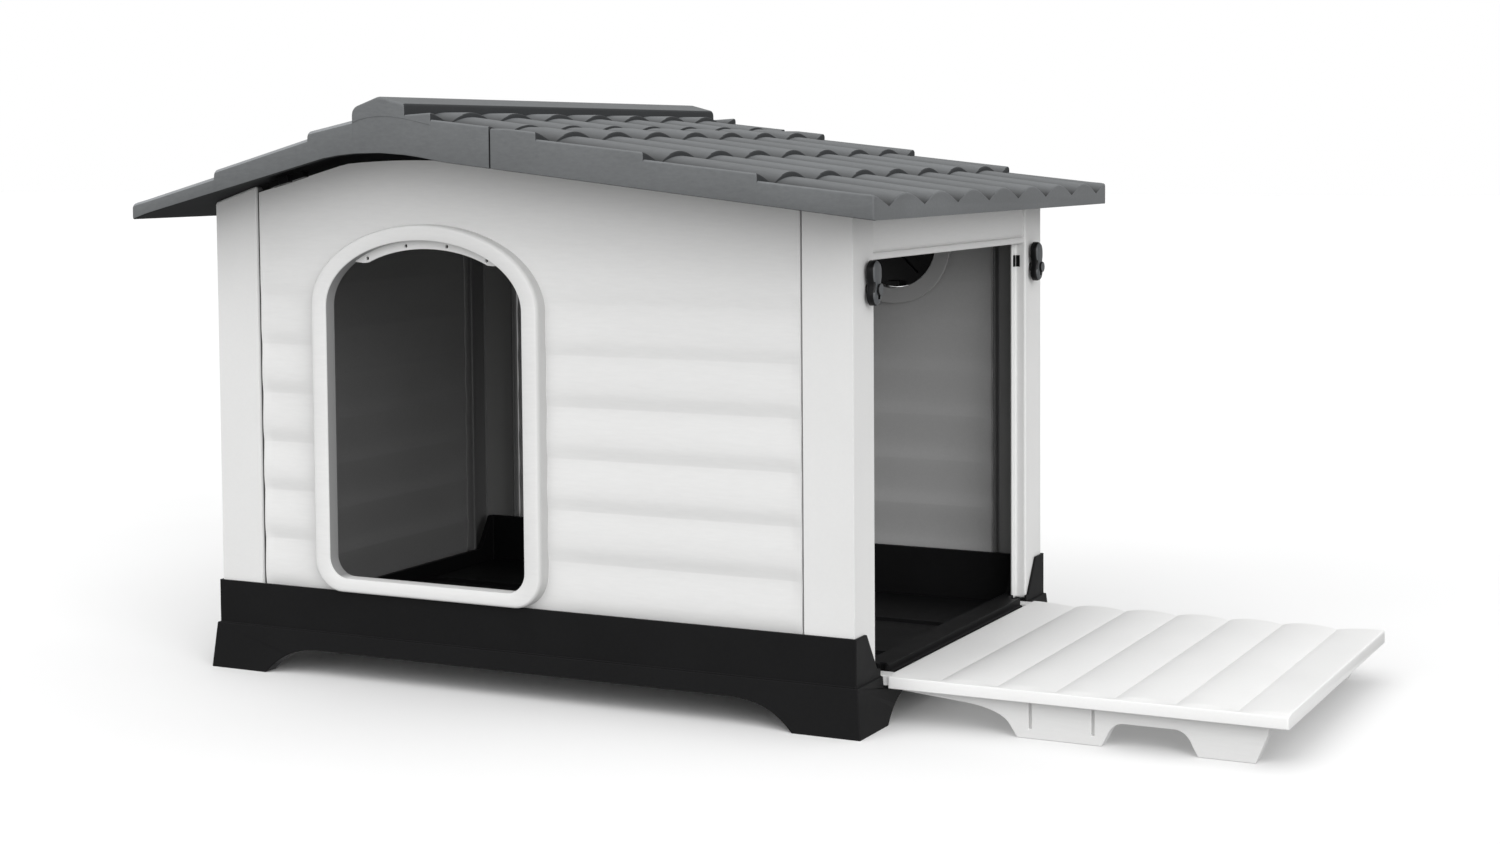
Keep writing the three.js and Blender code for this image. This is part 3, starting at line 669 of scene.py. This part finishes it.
def cap_ring(x, drop=0.0):
    """Section across the plain ridge capping."""
    top = ROOF_HIGH.z
    if x < CAP_RIDGE:
        height = top - 0.0145 * (CAP_RIDGE - x) / (CAP_RIDGE - CAP_LEFT)
    else:
        height = top - 0.0105 * (x - CAP_RIDGE) / (CAP_RIGHT - CAP_RIDGE)
    ring = roof_ring(x, 0, 0)
    return [
        (px, y, height - drop - corner_drop(ROOF_HALF - abs(y), 0.004)) if i < TOP_POINTS else (px, y, z)
        for i, (px, y, z) in enumerate(ring)
    ]


def roof_left():
    left = [roof_ring(*s) for s in roof_stations(LEFT_COURSES, CAP_LEFT, -552)]
    left.append(roof_ring(-549.01, TILE_END_RISE, 0))
    left = eave_rounding(sorted(left, key=lambda ring: -ring[0][0]), -555, -1)
    nose = [(d, corner_drop(d * MM, 0.006)) for d in (0, 0.6, 1.8, 3.6, 6)]
    capping = [cap_ring(CAP_LEFT + 0.02 + d, drop) for d, drop in nose]
    capping += [cap_ring(CAP_RIDGE + d, 0.0009 - abs(d) * 0.0002) for d in (-4, -1.5, 0, 1.5, 4)]
    tail = [(d, corner_drop(d * MM, 0.0035)) for d in (3.5, 2, 1, 0.3, 0)]
    capping += [cap_ring(CAP_RIGHT - 0.02 - d, drop) for d, drop in tail]
    right = [roof_ring(*s) for s in roof_stations(RIGHT_COURSES, CAP_RIGHT, SEAM_X - SEAM_GAP / 2)]
    rise = right_rise(SEAM_X)
    right.append(roof_ring(SEAM_X - SEAM_GAP / 2 - 0.6, rise, 0))
    right.append(roof_ring(SEAM_X - SEAM_GAP / 2, rise, 0.0012))
    verts, faces = loft(left[::-1] + capping + right)
    left_part = place("roof_left_tiles", verts, faces, GREY, replaces=["roof_left"])
    roof_looks(left_part)


def right_rise(x):
    """Crest height above the valleys at house x, on the right slope."""
    for start, end in zip(RIGHT_COURSES, RIGHT_COURSES[1:]):
        if start <= x <= end:
            return TILE_START_RISE + (TILE_END_RISE - TILE_START_RISE) * (x - start) / (end - start)
    return TILE_START_RISE


def roof_right():
    seam = SEAM_X + SEAM_GAP / 2
    tuck = 0.0045
    rise = right_rise(seam)
    rings = [roof_ring(x, rise, 0, sink=tuck) for x in (seam - SEAM_GAP + 0.1, seam - 0.2)]
    # The tucked strip stops short of the board's outer face, so the joint shows as a dark line.
    for ring in rings:
        for i, (x, y, z) in enumerate(ring):
            ring[i] = (x, max(-ROOF_HALF + 0.004, min(ROOF_HALF - 0.004, y)), z)
    rings.append(roof_ring(seam, rise, 0.0028))
    rings.append(roof_ring(seam + 0.6, rise, 0.0022))
    stations = roof_stations(RIGHT_COURSES, seam + 1, 552)
    rings += [roof_ring(*s) for s in stations]
    rings.append(roof_ring(549.01, TILE_END_RISE, 0))
    rings = eave_rounding(sorted(rings, key=lambda ring: ring[0][0]), 555, 1)
    verts, faces = loft(rings)
    right_part = place("roof_right_tiles", verts, faces, GREY, replaces=["roof_right"])
    roof_looks(right_part)


def gable_arch_lines():
    """Fine raised line under the ridge on each gable, drawn as a shallow arch."""
    top = ROOF_HIGH.z
    for name, way in (("front", -1), ("back", 1)):
        face = way * ROOF_HALF
        rings = []
        for i in range(33):
            t = i / 32
            x = CAP_LEFT + 1 + (-63 - CAP_LEFT) * t
            z = top - 0.034 - 0.004 * t + 0.0095 * math.sin(math.pi * t**0.8)
            ring = [(-0.0010, -0.0008), (0.0, 0.0006), (0.0010, -0.0008)]
            rings.append([(at(x), face + way * out, z + up) for up, out in ring])
        place(f"gable_arch_line_{name}", *loft(rings), GREY)


# ------------------------------------------------------------------ siding

WAVE_PITCH = 0.0673
WAVE_DEPTH = 0.0033
FIRST_GROOVE = 0.1855
LAST_GROOVE = FIRST_GROOVE + 6 * WAVE_PITCH
SKIN = 0.0045
SEAM_GAP_X = 0.0027
SWELL = 0.34
SEAM_FADE = 0.014
PLAIN_FROM, PLAIN_TO = 0.410, 0.590
PLANK_STEPS = [0, 0.01, 0.05, 0.10, 0.15, 0.20, 0.25, 0.30, 0.38]
PLANK_STEPS += [0.46, 0.54, 0.62, 0.70, 0.78, 0.86, 0.93, 0.99]
WAVES_STOP = 0.640


def wave_inset(z):
    """Depth below the crests: planks swell fast from the groove at their foot and fall back slowly."""
    turns = (z - FIRST_GROOVE) / WAVE_PITCH
    u = turns - math.floor(turns)
    if z > LAST_GROOVE and u > SWELL or z > LAST_GROOVE + WAVE_PITCH:
        return 0.0
    if u < SWELL:
        bulge = math.sin(math.pi / 2 * u / SWELL) ** 1.3
    else:
        bulge = math.cos(math.pi / 2 * (u - SWELL) / (1 - SWELL)) ** 1.6
    fade = min(1.0, max(0.0, (z - PLAIN_FROM) / (PLAIN_TO - PLAIN_FROM)))
    return WAVE_DEPTH * (1 - bulge) * (1 - 0.88 * fade * fade * (3 - 2 * fade))


def top_edge(x):
    """Upper edge of the long walls at house x in millimetres."""
    if x < -265:
        return 0.702 + 0.263 * (x + 265) * MM
    if x > -50:
        return 0.7025 - 0.1017 * (x + 50) * MM
    t = (x + 265) / 215
    return 0.702 * (1 - t) ** 2 + 0.711 * 2 * t * (1 - t) + 0.7025 * t**2


def siding_levels(foot, stop):
    """Heights at which a wall is sectioned, closest together at each groove."""
    levels = [foot]
    plank = math.floor((foot - FIRST_GROOVE) / WAVE_PITCH)
    while FIRST_GROOVE + plank * WAVE_PITCH < stop:
        for u in PLANK_STEPS:
            z = FIRST_GROOVE + (plank + u) * WAVE_PITCH
            if foot + 0.0005 < z < stop - 0.0005:
                levels.append(z)
        plank += 1
    return levels


def beside_entrance(s):
    """The waves of the front wall ease off towards the entrance frame."""
    left_edge = ARCH_X - HOUSE_X - ARCH_HALF - BAND
    right_edge = ARCH_X - HOUSE_X + ARCH_HALF + BAND
    if s < left_edge:
        return 0.35 + 0.65 * min(1.0, (left_edge - s) / 0.040)
    if s > right_edge:
        return 0.60 + 0.40 * min(1.0, (s - right_edge) / 0.050)
    return 0.5


def siding(half, crest, foot, top_of, columns, calm_at=lambda s: 1.0):
    """A single-skin wave panel as (s, outward depth, z) sections, s from -half to half."""
    edge = [0.0, 0.0004, 0.0010, 0.0018]
    drops = [corner_drop(e, 0.0015) for e in edge]
    inner = [-half + 0.002 + (2 * half - 0.004) * i / columns for i in range(1, columns)]
    inner = sorted(inner + [way * (half - d) for way in (-1, 1) for d in (0.0045, 0.0075, 0.0105, 0.0135)])
    stations = list(zip([-half + e for e in edge], drops)) + [(s, 0.0) for s in inner]
    stations += list(zip([half - e for e in reversed(edge)], reversed(drops)))
    rings = []
    for s, drop in stations:
        top = top_of(s)
        levels = siding_levels(foot, min(WAVES_STOP, top))
        levels += [levels[-1] + (top - levels[-1]) * t for t in (0.2, 0.5, 0.8, 1.0)]
        swell = (0.45 + 0.55 * min(1.0, (half - abs(s)) / SEAM_FADE)) * calm_at(s)
        outer = [(s, crest - drop - wave_inset(z) * swell, z) for z in levels]
        inner_face = [(s, crest - SKIN - wave_inset(z) * swell, z) for z in reversed(levels)]
        rings.append(outer + inner_face)
    return rings


def long_wall(name, node, side, cutters, calm_at=lambda s: 1.0):
    low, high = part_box(node)
    half = (high.x - low.x) / 2 - SEAM_GAP_X
    crest = max(abs(low.y), abs(high.y))
    rings = siding(half, crest, low.z, lambda s: top_edge(s / MM), 60, calm_at)
    turned = [[(HOUSE_X + s, side * d, z) for s, d, z in ring] for ring in rings]
    wall = place(name, *loft(turned), WHITE, replaces=[node])
    cut(wall, cutters)
    # Painted shade: the inner face takes the darker copy of the wall plastic.
    face_look(wall, WHITE_INNER_SHADE, lambda centre, normal: normal.y * side < -0.3)
    return wall


def end_wall():
    low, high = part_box("left_end_panel")
    half = (high.y - low.y) / 2 - SEAM_GAP_X
    crest = HOUSE_X - low.x
    rings = siding(half, crest, low.z, lambda s: high.z, 12)
    turned = [[(HOUSE_X - d, s, z) for s, d, z in ring] for ring in rings]
    wall = place("left_end_siding", *loft(turned), WHITE, replaces=["left_end_panel"])
    # Painted shade: the end wall's inner face takes the darker copy of the wall plastic.
    face_look(wall, WHITE_END_INNER_SHADE, lambda centre, normal: normal.x > 0.3)


# ------------------------------------------------------------------ entrance

FRAME_LOW, FRAME_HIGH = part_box("arch_frame")
BAND = 0.026
BAND_TOP = 0.021
BAND_BOTTOM = 0.0195
ARCH_X = (FRAME_LOW.x + FRAME_HIGH.x) / 2
ARCH_HALF = (FRAME_HIGH.x - FRAME_LOW.x) / 2 - BAND
ARCH_FOOT = FRAME_LOW.z + BAND_BOTTOM
ARCH_CROWN = FRAME_HIGH.z - BAND_TOP
ARCH_RISE = 0.091
ARCH_SPRING = ARCH_CROWN - ARCH_RISE
ARCH_CORNER = 0.028


def arch_outline(grow, top_share=BAND_TOP / BAND, bottom_share=BAND_BOTTOM / BAND):
    """Arched outline as (x, z), grown outward from the clear opening; the same count for any growth."""
    half = ARCH_HALF + grow
    foot = ARCH_FOOT - grow * bottom_share
    rise = ARCH_RISE + grow * top_share
    corner = ARCH_CORNER + grow * 0.6
    points = []
    for i in range(8):
        points.append((ARCH_X - (half - corner) * (1 - i / 4), foot))
    for i in range(12):
        t = -math.pi / 2 + math.pi / 2 * i / 12
        points.append((ARCH_X + half - corner + corner * math.cos(t), foot + corner + corner * math.sin(t)))
    for i in range(16):
        points.append((ARCH_X + half, foot + corner + (ARCH_SPRING - foot - corner) * i / 16))
    for i in range(64):
        t = math.pi * i / 64
        points.append((ARCH_X + half * math.cos(t), ARCH_SPRING + rise * math.sin(t)))
    for i in range(16):
        points.append((ARCH_X - half, ARCH_SPRING - (ARCH_SPRING - foot - corner) * i / 16))
    for i in range(12):
        t = math.pi + math.pi / 2 * i / 12
        points.append((ARCH_X - half + corner + corner * math.cos(t), foot + corner + corner * math.sin(t)))
    return points


def entrance_frame():
    """Rounded surround swept round the arch; its outer side dies into the waves of the siding."""
    front = FRAME_LOW.y
    rear = FRAME_HIGH.y
    roll = 0.0050
    section = [(0.0, front + 0.0016), (0.0005, front + 0.0005), (0.0016, front)]
    section += [(BAND - roll - 0.003, front)]
    for i in range(1, 8):
        t = math.pi / 2 * i / 7
        section.append((BAND - roll + roll * math.sin(t), front + roll - roll * math.cos(t)))
    skirt = front + 0.0235
    section += [(BAND, skirt), (0.004, skirt), (0.004, rear + 0.0002), (0.0, rear)]
    rings = [[(x, y, z) for x, z in arch_outline(grow)] for grow, y in section]
    count = len(rings[0])
    verts = [v for ring in rings for v in ring]
    faces = []
    for i in range(len(rings)):
        a, b = i * count, ((i + 1) % len(rings)) * count
        faces += [(a + k, a + (k + 1) % count, b + (k + 1) % count, b + k) for k in range(count)]
    surround = place("entrance_frame", verts, faces, WHITE, replaces=["arch_frame"])

    def left_reveal(centre, normal):
        return centre.x < ARCH_X and normal.x > 0 and normal.y > -0.3

    def right_side(centre, normal):
        return centre.x > ARCH_X and normal.x > 0 and normal.y > -0.95

    # Painted shade on the left reveal and on the frame's right outer side.
    face_look(surround, WHITE_REVEAL_SHADE, left_reveal)
    face_look(surround, WHITE_SIDE_SHADE, right_side)
    flap_lip(rear)


def flap_lip(rear):
    """Crescent lip at the back of the crown, drilled for a hanging flap."""
    start, stop, steps = math.radians(40), math.radians(139), 40
    deep = 0.0118
    outline = []
    for i in range(steps + 1):
        t = start + (stop - start) * i / steps
        x = ARCH_X + (ARCH_HALF + 0.002) * math.cos(t)
        outline.append((x, ARCH_SPRING + (ARCH_RISE + 0.002) * math.sin(t)))
    for i in range(steps, -1, -1):
        t = start + 0.06 + (stop - start - 0.12) * i / steps
        width = deep * min(1.0, 0.55 + 3.0 * math.sin(math.pi * i / steps))
        x = ARCH_X + (ARCH_HALF - 0.012) * math.cos(t)
        outline.append((x, ARCH_SPRING + (ARCH_RISE - width) * math.sin(t)))
    lip = place("flap_lip", *prism(outline, "y", rear - 0.0050, rear - 0.0015), WHITE)
    holes = []
    for angle in (-0.69, -0.22, 0.22, 0.69):
        x = ARCH_X + (ARCH_HALF - 0.006) * math.sin(angle)
        z = ARCH_SPRING + (ARCH_RISE - 0.006) * math.cos(angle)
        holes.append(disc(0.0024, "y", (x, z), rear - 0.02, rear + 0.02, 20))
    cut(lip, holes)
    soften(lip, 0.0006, 2)


# ------------------------------------------------------------------ side door

DOOR_LOW, DOOR_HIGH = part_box("side_door")
DOOR_NEAR = at(500)
DOOR_GROOVE = 0.0048
DOOR_RIM_DROP = 0.0020
DOOR_PITCH = 0.075
DOOR_FIRST = at(564)
RIM = 0.007
DOOR_HALF = 0.2617
DOOR_EDGE = 0.0022
DOOR_SKIN = 0.0055


def door_inset(x):
    """Depth of the door's waves below their crests, at x in metres."""
    edges = [DOOR_NEAR] + [DOOR_FIRST + i * DOOR_PITCH for i in range(6)] + [DOOR_HIGH.x]
    for left, right in zip(edges, edges[1:]):
        if left <= x <= right:
            u = (x - left) / (right - left)
            if left == DOOR_NEAR:
                u = 0.5 + u / 2
            elif right == DOOR_HIGH.x:
                u = u / 2
            return DOOR_GROOVE * (1 - math.sin(math.pi * u**0.85) ** 0.7)
    return 0.0


def door_panel():
    """Hollow panel with wave crests across it and a plain rim; sections run from hinge to tip."""
    half = DOOR_HALF
    low, top = DOOR_LOW.z, DOOR_HIGH.z
    edge = [0.0, 0.0005, 0.0013, 0.0024]
    fades = [0.0, 0.0015, 0.003, 0.0045, 0.006, 0.009, 0.012, 0.0155]
    across = sorted({round(half - e, 6) for e in edge} | {round(half - 0.0035 - f, 6) for f in fades})
    ys = [-y for y in reversed(across)] + [-0.12, 0.0, 0.12] + across
    waves = []
    x = DOOR_NEAR
    while x < DOOR_HIGH.x - 0.003:
        waves.append(x)
        x += 0.003
    grooves = [DOOR_FIRST + i * DOOR_PITCH for i in range(6)]
    near_grooves = {round(g + d, 5) for g in grooves for d in (-0.0012, 0, 0.0012)}
    waves = sorted({round(x, 5) for x in waves} | near_grooves)
    waves = [x for x in waves if DOOR_NEAR + 0.003 < x < DOOR_HIGH.x - 0.003]
    stations = [(DOOR_NEAR + e, corner_drop(e, DOOR_EDGE)) for e in edge] + [(x, 0.0) for x in waves]
    stations += [(DOOR_HIGH.x - e, corner_drop(e, DOOR_EDGE)) for e in reversed(edge)]
    rings = []
    for x, drop in stations:
        ring = []
        narrow = drop * 0.8
        for y in ys:
            inward = half - abs(y)
            fade = min(1.0, max(0.0, (inward - 0.003) / 0.016)) if y < 0 else 1.0
            fade = fade * fade * (3 - 2 * fade)
            z = top - DOOR_RIM_DROP * (1 - fade) - door_inset(x) * fade
            z = z - corner_drop(inward, DOOR_EDGE) - drop
            ring.append((x, math.copysign(min(abs(y), half - narrow), y), z))
        ring += [(x, half - narrow, low + 0.001), (x, half - narrow - 0.001, low)]
        solid_end = x < DOOR_NEAR + RIM or x > DOOR_HIGH.x - RIM
        roof = low if solid_end else top - DOOR_GROOVE - DOOR_SKIN
        ring += [(x, half - RIM, low), (x, half - RIM, roof), (x, -half + RIM, roof), (x, -half + RIM, low)]
        ring += [(x, -half + narrow + 0.001, low), (x, -half + narrow, low + 0.001)]
        rings.append(ring)
    # Painted light: the door wears the lighter copy of the wall plastic.
    place("side_door_panel", *loft(rings), WHITE_DOOR_LIT, "side_door", replaces=["side_door"])


def door_hinge_tabs():
    """Two moulded tabs with pin stubs at the door's inner corners."""
    hinge = next(j for j in frame["joints"] if j["name"] == "side_door_hinge")
    x0, _, z0 = hinge["pos_m"]
    radius = 0.0067
    for name, side in (("front", -1), ("back", 1)):
        y_mid = side * 0.247
        y0, y1 = y_mid - 0.011, y_mid + 0.011
        outline = [(DOOR_NEAR + 0.004, z0 - radius + 0.001), (DOOR_NEAR + 0.004, z0 + radius)]
        for i in range(13):
            t = math.pi / 2 + math.pi * i / 12
            outline.append((x0 + radius * math.cos(t), z0 + radius * math.sin(t)))
        tab = place(f"door_tab_{name}", *prism(outline, "y", y0, y1), WHITE, "side_door")
        soften(tab, 0.0008, 2)
        pin = disc(0.0042, "y", (x0, z0), y0 - 0.006, y1 + 0.006, 32)
        soften(place(f"door_pin_{name}", *pin, WHITE, "side_door"), 0.0006, 2)


def door_ribs():
    """Stiffening ribs in the hollow underside of the door."""
    top = DOOR_HIGH.z - DOOR_GROOVE - DOOR_SKIN
    parts = []
    for i in range(1, 8):
        x = DOOR_NEAR + (DOOR_HIGH.x - DOOR_NEAR) * i / 8
        outline = [(x - 0.0012, top + 0.001), (x + 0.0012, top + 0.001)]
        outline += [(x + 0.0009, top - 0.0065), (x - 0.0009, top - 0.0065)]
        parts.append(prism(outline, "y", -0.2555, 0.2555))
    place("door_ribs", *merged(*parts), WHITE, "side_door")


def bend(points, corner, end, steps=8):
    """Adds a quadratic curve from the last point to end."""
    x0, z0 = points[-1]
    for i in range(1, steps + 1):
        t = i / steps
        a, b, c = (1 - t) ** 2, 2 * t * (1 - t), t * t
        points.append((a * x0 + b * corner[0] + c * end[0], a * z0 + b * corner[1] + c * end[1]))


def door_leg(name, node, side):
    """Rail under the open door: two feet with arches between them, and two slots in its face."""
    low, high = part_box(node)
    top = high.z / MM
    points = [(512, top), (512, 43), (600, 36)]
    bend(points, (645, 31), (655, 14))
    points += [(664, 0), (772, 0), (779, 14)]
    bend(points, (786, 30), (800, 30))
    points.append((864, 30))
    bend(points, (878, 28), (884, 12))
    points += [(891, 0), (960, 0), (974, 34), (978, top)]
    outline = [(at(x), z * MM) for x, z in points]
    leg = place(name, *prism(outline, "y", low.y, high.y), WHITE, "side_door", replaces=[node])
    slots = []
    outer = low.y if side < 0 else high.y
    for x in (681, 761):
        span = sorted((outer - side * 0.005, outer + side * 0.005))
        left, right = at(x - 1.8), at(x + 1.8)
        slot = [(left, 0.012), (right, 0.012), (right, 0.060), (left, 0.060)]
        slots.append(prism(slot, "y", *span))
    cut(leg, slots)
    soften(leg, 0.0012, 2)


# ------------------------------------------------------------------ small fittings


def turn_button(name, node):
    """Latch with rounded ends, a waist beside its pivot and a slotted face."""
    low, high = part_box(node)
    joint = next(j for j in frame["joints"] if j["child"] == node)
    _, y0, z0 = joint["pos_m"]
    half = (high.y - low.y) / 2
    long_arm, short_arm = high.z - z0, z0 - low.z
    points = []
    for i in range(17):
        t = math.pi * i / 16
        points.append((half * math.cos(t), long_arm - half + half * math.sin(t)))
    waist = [(-half, 0.016), (-half + 0.0022, 0.010), (-half + 0.0028, 0.006)]
    waist += [(-half + 0.0022, 0.002), (-half, -0.004)]
    points += waist
    for i in range(17):
        t = math.pi + math.pi * i / 16
        points.append((half * math.cos(t), -short_arm + half + half * math.sin(t)))
    points += [(-y, z) for y, z in reversed(waist)]
    levels = [(0.0, 0.0012), (0.0010, 0.0), (0.0065, 0.0), (0.0092, 0.0010)]
    levels += [(0.0109, 0.0026), (0.0117, 0.0046), (0.0120, 0.0070)]
    rings = []
    for depth, shrink in levels:
        scale = 1 - shrink / half
        tall = 1 - shrink / 0.028
        ring = [(low.x + depth, y0 + y * scale, z0 + 0.008 + (z - 0.008) * tall) for y, z in points]
        rings.append(ring)
    button = place(name, *loft(rings), FITTING, node, replaces=[node], sharp=50)
    slot = [(y0 - 0.003, z0 - 0.012), (y0 + 0.003, z0 - 0.012)]
    slot += [(y0 + 0.003, z0 - 0.002), (y0 - 0.003, z0 - 0.002)]
    cut(button, [prism(slot, "x", high.x - 0.004, high.x + 0.01)])
    # Painted light on the face turned to +X.
    face_look(button, FITTING_LIT_FACE, lambda centre, normal: normal.x > 0.6)


def header():
    """Panel over the side doorway: set back from the posts, with a rolled bead along its lower edge."""
    low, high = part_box("right_lintel")
    face = high.x - 0.0022
    half = 0.2660
    back = high.x - 0.0060
    bead = 0.0088
    foot = low.z - 0.0016
    section = [(back, foot + 0.001), (high.x - 0.0012, foot), (high.x, foot + 0.0014)]
    section += [(high.x, foot + bead - 0.002)]
    section += [(high.x - 0.0008, foot + bead - 0.0006), (high.x - 0.0026, foot + bead)]
    section += [(face - 0.0022, foot + bead + 0.0008), (face - 0.0012, foot + bead + 0.0026)]
    section += [(face, foot + bead + 0.0046)]
    section += [(face, high.z), (back - 0.0005, high.z)]
    rings = [[(x, y, z) for x, z in section] for y in (-half, -half + 0.002, half - 0.002, half)]
    place("side_header", *loft(rings), WHITE, replaces=["right_lintel"])


def cavity_slots():
    """Black blocks that stand for the shade inside the latch pockets, in the corner between stop lip and
    reveal of the two door posts.
    """
    for name, side in (("front", -1), ("back", 1)):
        plan = [(468, 0.2578), (471.4, 0.2578), (471.4, 0.2652)]
        plan += [(477.5, 0.2652), (477.5, 0.2680), (468, 0.2680)]
        outline = [(at(x), side * y) for x, y in plan]
        place(f"reveal_slot_shade_{name}", *prism(outline, "z", 0.5475, 0.5640), FITTING)


FLOOR_RISE = 0.049
PAD_RISE = 0.004
PAD_SLOPE = 0.004


def rectangle(x0, x1, y0, y1, z):
    return [(x0, y0, z), (x1, y0, z), (x1, y1, z), (x0, y1, z)]


def floor_pads():
    """Raised fields on the base's floor, with drain channels between them."""
    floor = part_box("base_tray")[0].z + FLOOR_RISE
    left, right, near, far = at(-445), at(445), -0.294, 0.294
    columns, rows, channel = 4, 3, 0.022
    width = (right - left - channel * (columns - 1)) / columns
    depth = (far - near - channel * (rows - 1)) / rows
    parts = []
    for i in range(columns):
        for j in range(rows):
            x0 = left + i * (width + channel)
            y0 = near + j * (depth + channel)
            x1, y1 = x0 + width, y0 + depth
            inner = (x0 + PAD_SLOPE, x1 - PAD_SLOPE, y0 + PAD_SLOPE, y1 - PAD_SLOPE)
            foot = rectangle(x0, x1, y0, y1, floor - 0.001)
            shoulder = rectangle(x0, x1, y0, y1, floor)
            parts.append(loft([foot, shoulder, rectangle(*inner, floor + PAD_RISE)]))
    pads = place("floor_pads", *merged(*parts), BLACK)
    soften(pads, 0.0012, 2)


# ------------------------------------------------------------------ build


def build():
    roof_left()
    roof_right()
    gable_arch_lines()

    entrance = prism(arch_outline(0.0043, 1.0, 1.0), "y", -0.5, -0.2)
    long_wall("front_siding", "front_panel", -1, [entrance], beside_entrance)
    vent_low, vent_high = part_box("vent_disc")
    shutter = next(j for j in frame["joints"] if j["child"] == "vent_shutter")
    vent_centre = ((vent_low.x + vent_high.x) / 2, shutter["pos_m"][2])
    vent_hole = disc(0.0743, "y", vent_centre, 0.2, 0.5)
    long_wall("back_siding", "back_panel", 1, [vent_hole])
    end_wall()
    entrance_frame()

    door_panel()
    door_hinge_tabs()
    door_ribs()
    door_leg("leg_rail_front", "door_leg_front", -1)
    door_leg("leg_rail_back", "door_leg_back", 1)
    turn_button("turn_button_front", "latch_front")
    turn_button("turn_button_back", "latch_back")
    cavity_slots()
    floor_pads()

    for end in ("front_left", "front_right", "back_left", "back_right"):
        # Posts and left lintel: their material paints shade on faces inside the cabin.
        cad_look(f"post_{end}", WHITE_POST_LEFT if "left" in end else WHITE_POST, 0.0035, 4)
        cad_look(f"roof_clip_{end}", FITTING, 0.0015, 3)
    cad_look("left_lintel", WHITE_POST, 0.0016, 3)
    header()
    cad_look("base_tray", BLACK, 0.0018, 3)
    # Vent ring: its material paints shade on its faces inside the cabin.
    cad_look("vent_ring", WHITE_RING, 0.0015, 3)
    cad_look("vent_grille", FITTING, 0.0006, 2)
    cad_look("vent_disc", FITTING, 0.0006, 2)
    for node in ("latch_pivot_front", "latch_pivot_back"):
        pivot = cad_look(node, FITTING, 0.0008, 2)
        # Painted light on the face turned to +X.
        face_look(pivot, FITTING_LIT_FACE, lambda centre, normal: normal.x > 0.6)


# ------------------------------------------------------------------ studio


def camera():
    """Three-quarter view from the front right."""
    yaw, pitch, roll = math.radians(25.95), math.radians(-3.24), math.radians(-0.35)
    forward = Vector((-math.sin(yaw) * math.cos(pitch), math.cos(yaw) * math.cos(pitch), math.sin(pitch)))
    right = Vector((math.cos(yaw), math.sin(yaw), 0))
    up = right.cross(forward)
    x_axis = right * math.cos(roll) + up * math.sin(roll)
    y_axis = up * math.cos(roll) - right * math.sin(roll)
    data = bpy.data.cameras.new("camera")
    data.sensor_width = 36
    data.lens = 55.75
    data.shift_x = -0.0333
    data.shift_y = -0.0947
    eye = bpy.data.objects.new("camera", data)
    turn = Matrix((x_axis, y_axis, -forward)).transposed()
    eye.matrix_world = Matrix.Translation((at(1654.0), -2.8752, 0.7192)) @ turn.to_4x4()
    bpy.context.scene.collection.objects.link(eye)
    bpy.context.scene.camera = eye


def soft_sun(name, azimuth, elevation, strength, angle):
    """A very wide lamp at infinity; azimuth runs from the front (-Y) towards the side door (+X)."""
    data = bpy.data.lights.new(name, "SUN")
    data.energy = strength
    data.angle = math.radians(angle)
    a, e = math.radians(azimuth), math.radians(elevation)
    source = Vector((math.sin(a) * math.cos(e), -math.cos(a) * math.cos(e), math.sin(e)))
    lamp = bpy.data.objects.new(name, data)
    lamp.rotation_mode = "QUATERNION"
    lamp.rotation_quaternion = source.to_track_quat("Z", "Y")
    bpy.context.scene.collection.objects.link(lamp)


def studio():
    """Pale floor, four soft suns, and a white backdrop that only the camera sees."""
    mesh = bpy.data.meshes.new("floor")
    size = 30
    mesh.from_pydata(rectangle(-size, size, -size, size, 0), [], [(0, 1, 2, 3)])
    floor = bpy.data.objects.new("floor", mesh)
    paper = bpy.data.materials.new("floor_paper")
    paper.use_nodes = True
    shader = paper.node_tree.nodes["Principled BSDF"]
    shader.inputs["Roughness"].default_value = 0.9
    grain = add_node(paper.node_tree, "ShaderNodeTexNoise", Scale=40.0, Detail=3.0)
    colour = ramp(paper.node_tree, grain.outputs["Fac"], 0.3, 0.7, (0.88,) * 3, (0.92,) * 3)
    paper.node_tree.links.new(colour, shader.inputs["Base Color"])
    mesh.materials.append(paper)
    bpy.context.scene.collection.objects.link(floor)
    floor.visible_diffuse = False
    floor.visible_glossy = False

    world = bpy.data.worlds.new("studio")
    world.use_nodes = True
    tree = world.node_tree
    ambient = tree.nodes["Background"]
    ambient.inputs["Color"].default_value = (1, 1, 1, 1)
    ambient.inputs["Strength"].default_value = 0.42
    backdrop = tree.nodes.new("ShaderNodeBackground")
    backdrop.inputs["Color"].default_value = (1, 1, 1, 1)
    backdrop.inputs["Strength"].default_value = 1.0
    seen = tree.nodes.new("ShaderNodeLightPath")
    choose = tree.nodes.new("ShaderNodeMixShader")
    tree.links.new(seen.outputs["Is Camera Ray"], choose.inputs[0])
    tree.links.new(ambient.outputs["Background"], choose.inputs[1])
    tree.links.new(backdrop.outputs["Background"], choose.inputs[2])
    tree.links.new(choose.outputs["Shader"], tree.nodes["World Output"].inputs["Surface"])
    bpy.context.scene.world = world
    bpy.context.scene.view_settings.view_transform = "Standard"
    soft_sun("key", 52, 28, 1.00, 45)
    soft_sun("fill", -22, 26, 0.72, 60)
    soft_sun("low", 50, 4, 1.15, 60)
    soft_sun("top", 0, 85, 1.50, 90)


build()
camera()
studio()
